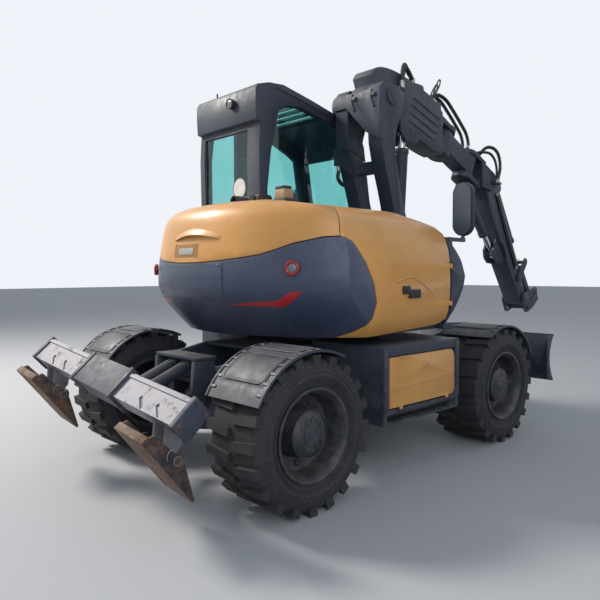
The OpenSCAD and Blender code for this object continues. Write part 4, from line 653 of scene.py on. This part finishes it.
# %% [markdown]
# ## The tail and the hood: stripe, lamps, mouldings and blank panels
# The stripe is a thin film that follows a skin curved two ways. A flat shape would cut into
# it, so each of its points is thrown level towards the slewing axis until it meets the skin.
# The blank panel on the tail bridges a recess, so it follows the round beside it instead.

# %% Pieces laid on a curved skin
SLEW_X = 0.2
LAMP_ANGLE = math.radians(34.4)


def skin_of(node):
    """A search tree over a dressed node's faces."""
    bm = bmesh.new()
    bm.from_mesh(dressed[node].data)
    tree = BVHTree.FromBMesh(bm)
    bm.free()
    return tree


def on_skin(tree, angle, height, proud):
    """Where a level line towards the slewing axis meets the skin, and the way out of it."""
    ray = Vector((math.cos(math.radians(angle)), math.sin(math.radians(angle)), 0.0))
    spot, normal, _, _ = tree.ray_cast(Vector((SLEW_X, 0.0, height)) + ray * 2.5, -ray)
    return spot + normal * proud


def film(bm, tree, rows, thick, lift=lambda u, w: 0.0012, fine=5, across=4):
    """A thin sheet between a low and a high edge, whose rows are angle, low and high height."""
    part = bmesh.new()
    count = (len(rows) - 1) * fine
    bmesh.ops.create_grid(part, x_segments=count, y_segments=across, size=0.5)
    for v in part.verts:
        u, w = v.co.x + 0.5, v.co.y + 0.5
        i = min(int(u * (len(rows) - 1)), len(rows) - 2)
        t = u * (len(rows) - 1) - i
        angle, low, high = (a + (b - a) * t for a, b in zip(rows[i], rows[i + 1]))
        v.co = on_skin(tree, angle, low + (high - low) * w, lift(u, w))
    bmesh.ops.solidify(part, geom=part.faces[:], thickness=thick)
    bmesh.ops.recalc_face_normals(part, faces=part.faces[:])
    join(bm, part)


tail_skin, hood_skin, door_skin = skin_of("counterweight"), skin_of("hood"), skin_of("side_door")
STRIPE = [(-165.0, 1.303, 1.3045), (-162.0, 1.300, 1.313), (-158.4, 1.299, 1.321), (-154.0, 1.297, 1.330),
          (-151.5, 1.294, 1.334), (-149.6, 1.2935, 1.344), (-148.2, 1.297, 1.368), (-146.7, 1.322, 1.391),
          (-146.0, 1.337, 1.401), (-144.8, 1.363, 1.402), (-143.2, 1.402, 1.4035)]
stripe = bmesh.new()
for side in (1, -1):
    film(stripe, tail_skin, [(a * side, low, high) for a, low, high in STRIPE], 0.001)
keep(shaded("tail_stripe", stripe), "upper", "lamp_red", "stripe_film")

rims_of_lamps, lenses = bmesh.new(), bmesh.new()
for side in (-1, 1):
    out = Vector((-math.cos(LAMP_ANGLE), side * math.sin(LAMP_ANGLE), 0.0))
    spot = Vector((SLEW_X, 0.0, 1.56)) + out * 1.5644
    turned(rims_of_lamps, spot, out, [(0.030, -0.004), (0.049, -0.004), (0.051, 0.002), (0.047, 0.010),
                                      (0.040, 0.012), (0.033, 0.008), (0.030, -0.004)], 40)
    turned(lenses, spot, out, [(0, -0.003), (0.033, -0.003), (0.033, 0.002), (0.024, 0.007),
                               (0.012, 0.0092), (0, 0.010)], 32)
keep(shaded("tail_lamp_rings", rims_of_lamps), "upper", "lamp_red")
keep(shaded("tail_lamp_lenses", lenses), "upper", "plastic", "grey_lens")

moulding = bmesh.new()
LIP = [(a, 1.775 + 0.030 * math.sin(math.pi * t), 1.800 + 0.062 * math.sin(math.pi * t) ** 0.8)
       for t, a in ((i / 8, 171.0 + 21.5 * i / 8) for i in range(9))]
film(moulding, hood_skin, LIP, 0.003,
     lambda u, w: 0.001 + 0.030 * math.sin(math.pi * min(max(u, 0.0), 1.0)) ** 0.7 * (1.0 - w) ** 0.6, 4, 8)
keep(shaded("hood_brow", moulding, 50.0), "hood", "body_paint")
# The hood's recess is a flat film of darker orange: painted shade.
recess_shade_film = bmesh.new()
film(recess_shade_film, hood_skin, [(172.2 + 11.4 * i / 4, 1.648, 1.742) for i in range(5)], 0.002)
keep(shaded("hood_recess", recess_shade_film), "hood", "body_paint", "painted_shade_orange")
plate = bmesh.new()
film(plate, hood_skin, [(174.6 + 7.6 * i / 4, 1.668, 1.716) for i in range(5)], 0.003, lambda u, w: 0.004)
keep(shaded("hood_blank_plate", plate), "hood", "chrome", "zinc")


def corner_loop(a0, a1, z0, z1, round_a, round_z, steps=6):
    """Angles and heights round a rectangle with rounded corners."""
    spots = []
    for ca, cz, start in ((a1 - round_a, z1 - round_z, 0), (a0 + round_a, z1 - round_z, 90),
                          (a0 + round_a, z0 + round_z, 180), (a1 - round_a, z0 + round_z, 270)):
        for k in range(steps + 1):
            t = math.radians(start + 90 * k / steps)
            spots.append((ca + round_a * math.cos(t), cz + round_z * math.sin(t)))
    return spots


def round_tail(angle, height, proud):
    """A point on the tail's round rear, whose radius is the same all along one height."""
    spot = on_skin(tail_skin, 168.0, height, 0.0)
    radius = math.hypot(spot.x - SLEW_X, spot.y) + proud + 0.003
    t = math.radians(angle)
    return Vector((SLEW_X + radius * math.cos(t), radius * math.sin(t), height))


sheet = bmesh.new()
bmesh.ops.create_grid(sheet, x_segments=40, y_segments=12, size=0.5)
for v in sheet.verts:
    v.co = round_tail(177.0 + 34.0 * v.co.x, 1.468 + 0.240 * v.co.y, 0.0012)
sheet.normal_update()
bmesh.ops.solidify(sheet, geom=sheet.faces[:], thickness=0.001)
bmesh.ops.recalc_face_normals(sheet, faces=sheet.faces[:])
keep(shaded("tail_panel", sheet), "upper", "tail_paint")
bead = bmesh.new()
loop = corner_loop(160.0, 193.8, 1.350, 1.586, 1.2, 0.03)
swept(bead, [round_tail(a, z, 0.001) for a, z in loop], 0.0035, closed=True)
keep(shaded("tail_panel_bead", bead), "upper", "tail_paint")

bead = bmesh.new()
loop = corner_loop(171.8, 184.0, 1.642, 1.748, 0.8, 0.02)
swept(bead, [on_skin(hood_skin, a, z, 0.001) for a, z in loop], 0.003, closed=True)
keep(shaded("hood_recess_edge", bead), "hood", "body_paint")
print("stripe, lamps and mouldings laid on the skin")

# %% [markdown]
# ## Side door: latch and lip
# The latch is a short black pull, under a lip that sheds the rain.

# %% Door latch and lip
def on_side(tree, x, z, proud):
    """Where a line across the machine meets the right side's skin."""
    spot, normal, _, _ = tree.ray_cast(Vector((x, -1.6, z)), Vector((0, 1, 0)))
    return spot + normal * proud


latch = bmesh.new()
block(latch, (-0.236, -1.170, 1.368), (-0.150, -1.150, 1.430), 0.008)
block(latch, (-0.165, -1.174, 1.336), (-0.026, -1.150, 1.402), 0.009)
turned(latch, (-0.190, -1.170, 1.400), (0, -1, 0),
       [(0, 0), (0.016, 0), (0.016, 0.003), (0.008, 0.004), (0, 0.004)], 20)
keep(shaded("door_latch", latch), "side_door", "plastic")
lip = bmesh.new()
LIP_LINE = ((-0.30, 1.455), (-0.20, 1.487), (-0.10, 1.492), (0.0, 1.455), (0.10, 1.40), (0.17, 1.355))
swept(lip, smooth_route([on_side(door_skin, x, z, -0.004) for x, z in LIP_LINE], 5), 0.011, sides=4)
keep(shaded("door_lip", lip, 60.0), "side_door", "body_paint")
print("latch and lip on the side door")

# %% [markdown]
# ## Wheels
# A hub reduction sits in the middle of each dished rim, ringed by bolts, and the wheel nuts
# stand on the disc behind it. Thin ribs run round the tyre's wall.

# %% Hub bolts, wheel nuts and wall ribs
WHEELS = {"fl": (1.2, 1), "fr": (1.2, -1), "rl": (-1.2, 1), "rr": (-1.2, -1)}
WHEEL_Y, WHEEL_Z = 0.985, 0.51
# Each ring of bolts: how many, where the first stands as a share of a step, how far from the
# middle, how far out, and the size of a head.
BOLT_RINGS = ((10, 0.5, 0.208, 0.0545, 0.015), (12, 0.0, 0.098, 0.195, 0.008))
for corner, (x, side) in WHEELS.items():
    out = Vector((0, side, 0))
    centre = Vector((x, side * WHEEL_Y, WHEEL_Z))
    metal, rubber = bmesh.new(), bmesh.new()
    for count, first, reach, depth, size in BOLT_RINGS:
        for i in range(count):
            bolt(metal, centre + spoke(math.tau * (i + first) / count) * reach + out * depth, out, size)
    turned(metal, centre + out * 0.195, out,
           [(0, 0), (0.070, 0), (0.068, 0.006), (0.040, 0.011), (0, 0.013)], 36)
    bolt(metal, centre + Vector((0.03, 0, 0.03)) + out * 0.204, out, 0.010)
    ring(metal, centre + out * 0.178, out, 0.150, 0.004, 60)
    stem = ((0.236, 0.07), (0.238, 0.12), (0.240, 0.15))
    swept(metal, smooth_route([centre + Vector((0, 0, z)) + out * depth for z, depth in stem], 4), 0.005)
    for radius, depth in ((0.335, 0.2295), (0.352, 0.2350), (0.405, 0.2400), (0.430, 0.2345)):
        ring(rubber, centre + out * depth, out, radius, 0.0035, 72, 6)
        ring(rubber, centre - out * depth, out, radius, 0.0035, 72, 6)
    keep(shaded("hub_" + corner, metal), "wheel_" + corner, "rim_paint", "hub_paint")
    keep(shaded("wall_ribs_" + corner, rubber), "wheel_" + corner, "tyre")
print("hubs and ribs on", len(WHEELS), "wheels")

# %% [markdown]
# ## Mudguards
# Each guard is pressed from sheet: a rounded bead runs round its raised panel and short
# gussets stiffen the rim between panel and edge.

# %% Beads and gussets
GUARD_ARCS = {"f": (28, 122), "r": (62, 152)}
GUARD_Y, PANEL_RADIUS, GUSSET_RADIUS = 0.9735, 0.5428, 0.534
GUSSET_STEP = 8.5


def on_guard(x, side, across, angle, radius):
    """A point over a wheel: across from the guard's middle line, at an angle, at a radius."""
    t = math.radians(angle)
    return Vector((x + radius * math.cos(t), side * (GUARD_Y + across), WHEEL_Z + radius * math.sin(t)))


for corner, (x, side) in WHEELS.items():
    a0, a1 = GUARD_ARCS[corner[0]]
    middle = (a0 + a1) / 2
    bm = bmesh.new()
    for b0, b1 in ((a0 + 14.8, middle - 3.8), (middle + 3.8, a1 - 14.8)):
        spots = corner_loop(b0, b1, -0.190, 0.190, 4.0, 0.04)
        fine = []
        for (p, q), (r, s) in zip(spots, spots[1:] + spots[:1]):
            for k in range(4):
                fine.append(on_guard(x, side, q + (s - q) * k / 4, p + (r - p) * k / 4, PANEL_RADIUS))
        swept(bm, fine, 0.0035, closed=True)
    for edge in (-1, 1):
        angle = a0 + 6
        while angle < a1 - 4:
            spot = on_guard(x, side, edge * 0.224, angle, GUSSET_RADIUS)
            way, level = spoke(math.radians(angle)), Vector((0, 1, 0))
            stand = Matrix((level.cross(way), level, way)).transposed().to_4x4()
            block(bm, (-0.010, -0.022, 0.0), (0.010, 0.022, 0.0095), 0.003, Matrix.Translation(spot) @ stand)
            angle += GUSSET_STEP
    keep(shaded("guard_beads_" + corner, bm), "steer_" + corner, "frame_paint", "guard_paint")
print("guards beaded")

# %% [markdown]
# ## The driver's seat
# A suspension seat has a crowned cushion and back with sewn channels, a separate headrest
# and a rubber bellows under it. The pads start as boxes cut into a fine grid; each point is
# then moved by a smooth rule for the crown, the pulled-in sides and the sewn channels.

# %% Padded seat
def pad(name, size, matrix, crown, channels):
    """A crowned cushion: size in metres, crown in metres, channels at shares across its width."""
    bm = bmesh.new()
    bmesh.ops.create_cube(bm, size=2.0)
    bmesh.ops.subdivide_edges(bm, edges=bm.edges[:], cuts=15, use_grid_fill=True)
    half = Vector(size) / 2
    for v in bm.verts:
        u, w, h = v.co
        pinch = 1.0 - 0.07 * (abs(h) ** 2)
        sides_in = 1.0 - 0.045 * (1.0 - w * w) * (abs(u) ** 6) - 0.03 * (abs(u * w) ** 3)
        ends_in = 1.0 - 0.045 * (1.0 - u * u) * (abs(w) ** 6) - 0.03 * (abs(u * w) ** 3)
        swell = crown * (1.0 - u ** 4) * (1.0 - w ** 4) * h
        groove = sum(0.010 * math.exp(-((w - c) / 0.045) ** 2) for c in channels) * (1.0 - u ** 8)
        v.co = Vector((u * half.x * pinch * sides_in, w * half.y * pinch * ends_in,
                       h * half.z * (1.0 - 0.35 * max(abs(u), abs(w)) ** 10) + swell - groove * max(h, 0.0)))
    bm.transform(matrix)
    for face in bm.faces:
        face.smooth = True
    made = new_object(name, bm)
    soft = made.modifiers.new("soft", "SUBSURF")
    soft.levels = soft.render_levels = 1
    keep(made, "upper", "seat_fabric")
    return made


def leaning(place, angle):
    """A matrix for a pad whose face looks forward, leaning back by an angle."""
    return Matrix.Translation(place) @ Matrix.Rotation(math.radians(90.0 - angle), 4, "Y")


SEAT_Y = 0.70
CHANNELS = (-0.62, -0.2, 0.2, 0.62)
tilted = Matrix.Translation((0.185, SEAT_Y, 1.705)) @ Matrix.Rotation(math.radians(-3), 4, "Y")
cushion = pad("seat_cushion", (0.52, 0.46, 0.10), tilted, 0.018, CHANNELS)
pad("seat_back", (0.62, 0.44, 0.10), leaning((-0.130, SEAT_Y, 2.07), 6.0), 0.014, CHANNELS)
pad("seat_headrest", (0.22, 0.25, 0.075), leaning((-0.188, SEAT_Y, 2.53), 3.0), 0.008, ())

under = bmesh.new()
FOLD = 0.055
for i in range(6):
    inset = 0.0 if i % 2 else 0.018
    block(under, (0.01 + inset, 0.56 + inset, 1.30 + i * FOLD),
          (0.33 - inset, 0.84 - inset, 1.30 + (i + 1) * FOLD), 0.012)
block(under, (0.0, 0.55, 1.1753), (0.34, 0.85, 1.305), 0.01)
block(under, (-0.07, 0.50, 1.625), (0.42, 0.90, 1.662), 0.010)
block(under, (-0.225, 0.52, 1.70), (-0.185, 0.88, 2.33), 0.016)
for e in (-1, 1):
    post_y, arm_y = SEAT_Y + e * 0.06, SEAT_Y + e * 0.27
    swept(under, [Vector((-0.172, post_y, 2.34)), Vector((-0.186, post_y, 2.47))], 0.007)
    block(under, (-0.04, arm_y - 0.035, 1.90), (0.30, arm_y + 0.035, 1.955), 0.018)
    block(under, (-0.10, arm_y - 0.02, 1.72), (-0.04, arm_y + 0.02, 1.955), 0.012)
    turned(under, (0.27, arm_y, 1.95), (0.1, 0, 1),
           [(0, 0), (0.022, 0), (0.018, 0.02), (0.012, 0.07), (0.020, 0.11), (0.021, 0.15), (0.012, 0.165),
            (0, 0.168)], 20)
keep(shaded("seat_base", under), "upper", "plastic")
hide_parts("seat")

# %% Seals, interior and rear window disc
CAB_REAR, CAB_FOOT = -0.42, 1.1103


def cab_line(side_view, y):
    """Points round a window drawn in the cab's side view, as metres from its rear foot."""
    return [Vector((px + CAB_REAR, y, CAB_FOOT + pz)) for px, pz in side_view]


WIN_RIGHT = [(0.075, 0.860), (0.082, 1.150), (0.128, 1.507), (0.186, 1.736), (0.225, 1.885), (0.330, 1.935),
             (0.494, 1.944), (0.930, 1.862), (1.150, 1.768), (1.270, 1.700), (1.385, 1.050), (1.390, 0.760)]
WIN_LEFT = [(0.090, 0.855), (0.085, 1.500), (0.130, 1.850), (0.190, 1.900), (0.400, 1.900), (0.400, 0.855)]
seals = bmesh.new()
swept(seals, cab_line(WIN_RIGHT, 0.2665), 0.010, closed=True)
swept(seals, cab_line(WIN_LEFT, 1.1335), 0.010, closed=True)
WIN_REAR = ((0.42, 2.0453), (1.08, 2.0453), (1.08, 2.8103), (0.42, 2.8103))
swept(seals, [Vector((-0.409, y, z)) for y, z in WIN_REAR], 0.010, closed=True)
keep(shaded("window_seals", seals), "upper", "hose_rubber")

disc, disc_rim = bmesh.new(), bmesh.new()
spot, out = Vector((-0.4062, 0.561, 2.301)), Vector((-1, 0, 0))
turned(disc, spot, out, [(0, 0), (0.094, 0), (0.094, 0.0015), (0, 0.0022)], 48)
ring(disc_rim, spot + out * 0.0018, out, 0.090, 0.0022, 48, 6)
keep(shaded("rear_disc", disc), "upper", "plastic", "white_film")
keep(shaded("rear_disc_edge", disc_rim), "upper", "plastic", "dark_film")

inside = bmesh.new()
block(inside, (0.86, 0.50, 1.19), (0.99, 0.90, 1.62), 0.03)
swept(inside, smooth_route([(0.93, SEAT_Y, 1.55), (0.90, SEAT_Y, 1.75), (0.84, SEAT_Y, 1.93)], 5), 0.022)
wheel_at = Vector((0.825, SEAT_Y, 1.955))
up_wheel, over_wheel = Vector((0.9, 0, 0.45)).normalized(), Vector((0, 1, 0))
ring(inside, wheel_at, (-0.45, 0, 0.9), 0.175, 0.014, 48, 10)
for i in range(3):
    t = math.tau * i / 3
    rim_spot = wheel_at + 0.17 * (up_wheel * math.cos(t) + over_wheel * math.sin(t))
    swept(inside, [Vector((0.832, SEAT_Y, 1.94)), rim_spot], 0.009)
block(inside, (0.93, 0.36, 1.72), (0.97, 0.46, 1.94), 0.012)
keep(shaded("cab_controls", inside), "upper", "plastic")

cab_lamp, cab_lens = bmesh.new(), bmesh.new()
spot = Vector((-0.4943, 0.58, 3.05))
turned(cab_lamp, spot, out,
       [(0.036, 0), (0.047, 0), (0.048, 0.006), (0.043, 0.012), (0.037, 0.008), (0.036, 0)], 36)
turned(cab_lens, spot, out, [(0, 0), (0.038, 0), (0.037, 0.004), (0.02, 0.009), (0, 0.010)], 32)
keep(shaded("cab_lamp_ring", cab_lamp), "upper", "plastic")
keep(shaded("cab_lamp_lens", cab_lens), "upper", "plastic", "grey_lens")

boxes, tan_box = bmesh.new(), bmesh.new()
block(boxes, (-0.565, -0.235, 2.075), (-0.455, -0.085, 2.135), 0.010)
block(tan_box, (-0.560, -0.225, 2.13), (-0.460, -0.095, 2.21), 0.010)
block(boxes, (-0.560, -0.215, 2.205), (-0.470, -0.105, 2.235), 0.008)
turned(boxes, (-0.712, 0.0, 2.135), (-1, 0, 0),
       [(0, 0), (0.036, 0), (0.038, 0.006), (0.030, 0.014), (0, 0.014)], 28)
keep(shaded("hood_boxes", boxes), "hood", "plastic")
keep(shaded("hood_tan_box", tan_box), "hood", "plastic", "tan_plastic")
print("seat, seals, disc, controls and lamps in place")

# %% Mirror glasses
ROUND = 0.083
glasses = bmesh.new()
for x, y, z in ((0.675, -1.085, 2.06), (1.025, 1.30, 2.30)):
    face = bmesh.new()
    outline = []
    for cz, start in ((0.13, 0), (-0.13, 180)):
        for k in range(13):
            t = math.radians(start + 180 * k / 12)
            outline.append(face.verts.new((x - 0.003, y + ROUND * math.cos(t), z + cz + ROUND * math.sin(t))))
    face.faces.new(outline)
    face.normal_update()
    bmesh.ops.solidify(face, geom=face.faces[:], thickness=0.002)
    bmesh.ops.recalc_face_normals(face, faces=face.faces[:])
    join(glasses, face)
keep(shaded("mirror_glasses", glasses), "upper", "chrome", "mirror_glass")
print("two mirror glasses")

# %% [markdown]
# ## Stabiliser
# The beams end in dark plates held by bolts. Each foot turns on a pin whose bright end shows
# in its side plate, next to a crescent of weld.

# %% End plates, pin ends and welds
BEAM_X, BEAM_Z = -1.996, 0.812
ROLLED, TURNED = math.radians(5.2), math.radians(47)
ROLL = (Matrix.Translation((0, 0, BEAM_Z)) @ Matrix.Rotation(ROLLED, 4, "X")
        @ Matrix.Translation((0, 0, -BEAM_Z)))


def across_beam(y):
    """The frame of the stabiliser's beam at y: its thickness along x and its width along z."""
    return ROLL @ Matrix.Translation((BEAM_X, y, BEAM_Z)) @ Matrix.Rotation(TURNED, 4, "Y")


plates, plate_bolts = bmesh.new(), bmesh.new()
for y0, y1 in ((-1.056, -1.018), (0.958, 0.996)):
    block(plates, (-0.078, y0, -0.108), (0.078, y1, 0.108), 0.006, across_beam(0))
for y, side in ((-1.056, -1), (0.996, 1)):
    for u in (-0.05, 0.05):
        for w in (-0.075, 0.075):
            spot = across_beam(y) @ Vector((u, 0, w))
            bolt(plate_bolts, spot, Vector((0, side, 0)), 0.009)
keep(shaded("beam_end_plates", plates), "stabiliser", "sleeve_paint")
keep(shaded("beam_end_bolts", plate_bolts), "stabiliser", "worn_steel")

collars = bmesh.new()
for y in (-0.331, 0.246):
    loop = [across_beam(y) @ Vector((u, 0, w)) for u, w in
            ((-0.068, -0.098), (0.068, -0.098), (0.068, 0.098), (-0.068, 0.098))]
    fine = []
    for p, q in zip(loop, loop[1:] + loop[:1]):
        fine += [p + (q - p) * k / 12 for k in range(12)]
    swept(collars, fine, 0.006, closed=True)
keep(shaded("sleeve_welds", collars), "stabiliser", "sleeve_paint")

for name, y0 in (("stabiliser_foot_right", -0.820), ("stabiliser_foot_left", 0.780)):
    bright, dark = bmesh.new(), bmesh.new()
    for side in (-1, 1):
        out = ROLL.to_3x3() @ Vector((0, side, 0))
        centre = ROLL @ Vector((BEAM_X - 0.034, y0 + side * 0.160, BEAM_Z - 0.248))
        ring(bright, centre + out * 0.001, out, 0.026, 0.0035, 36)
        turned(dark, centre, out, [(0, 0), (0.022, 0), (0.022, 0.006), (0.012, 0.009), (0, 0.009)], 28)
        turned(dark, centre, out,
               [(0.036, -0.002), (0.046, -0.002), (0.046, 0.003), (0.036, 0.003), (0.036, -0.002)], 36)
        arc = []
        for k in range(13):
            t = math.radians(70 + 140 * k / 12)
            arc.append(ROLL @ Vector((BEAM_X - 0.064 + 0.042 * math.cos(t), y0 + side * 0.1615,
                                      BEAM_Z - 0.212 + 0.042 * math.sin(t))))
        swept(bright, arc, 0.003)
    keep(shaded(name + "_weld", bright), name, "bare_steel", "bright_steel")
    keep(shaded(name + "_pin_end", dark), name, "worn_steel")
print("stabiliser plates, pins and welds made")

# %% [markdown]
# ## Pins of the arm
# Every pin of the boom shows a keeper plate with bolts on its outer face. A level ray from
# each side finds where that face is, so the plate sits on the metal whatever its shape.

# %% Keeper plates on the pins
# The node, where its pin stands in x and z, and the radius of the plate
PINS = [("base_boom", 0.860, 1.400, 0.040), ("base_boom", 0.600, 3.130, 0.034),
        ("mid_boom", 1.110, 2.930, 0.022), ("boom_head", 2.640, 2.580, 0.036),
        ("boom_head", 2.230, 2.480, 0.022), ("dipper", 2.926, 1.745, 0.022),
        ("dipper", 3.500, 1.190, 0.026), ("rocker", *on_dipper(1.330, 0, 0.020)[::2], 0.020),
        ("rocker", *on_dipper(1.240, 0, 0.250)[::2], 0.020),
        ("tie_link", *on_dipper(1.700, 0, 0.270)[::2], 0.020),
        ("upper_frame", 0.860, 1.400, 0.034), ("upper_frame", 1.330, 1.230, 0.024)]
found = 0
for i, (node, x, z, r) in enumerate(PINS):
    tree = skin_of(node)
    bm = bmesh.new()
    for side in (-1, 1):
        out = Vector((0, side, 0))
        spot, normal, _, _ = tree.ray_cast(Vector((x, side * 1.6, z)), -out)
        if spot is None or abs(normal.y) < 0.9:
            continue
        found += 1
        turned(bm, spot - out * 0.001, out,
               [(0, 0), (r, 0), (r, 0.0035), (r * 0.92, 0.0045), (0, 0.0045)], 28)
        for k in range(3):
            t = math.tau * (k + 0.25) / 3
            bolt(bm, spot + out * 0.003 + spoke(t) * r * 0.55, out, r * 0.16)
    if bm.verts:
        keep(shaded("pin_caps_%d_%s" % (i, node), bm), body_of_node[node], "frame_paint", "cap_steel")
print(found, "keeper plates on", len(PINS), "pins")
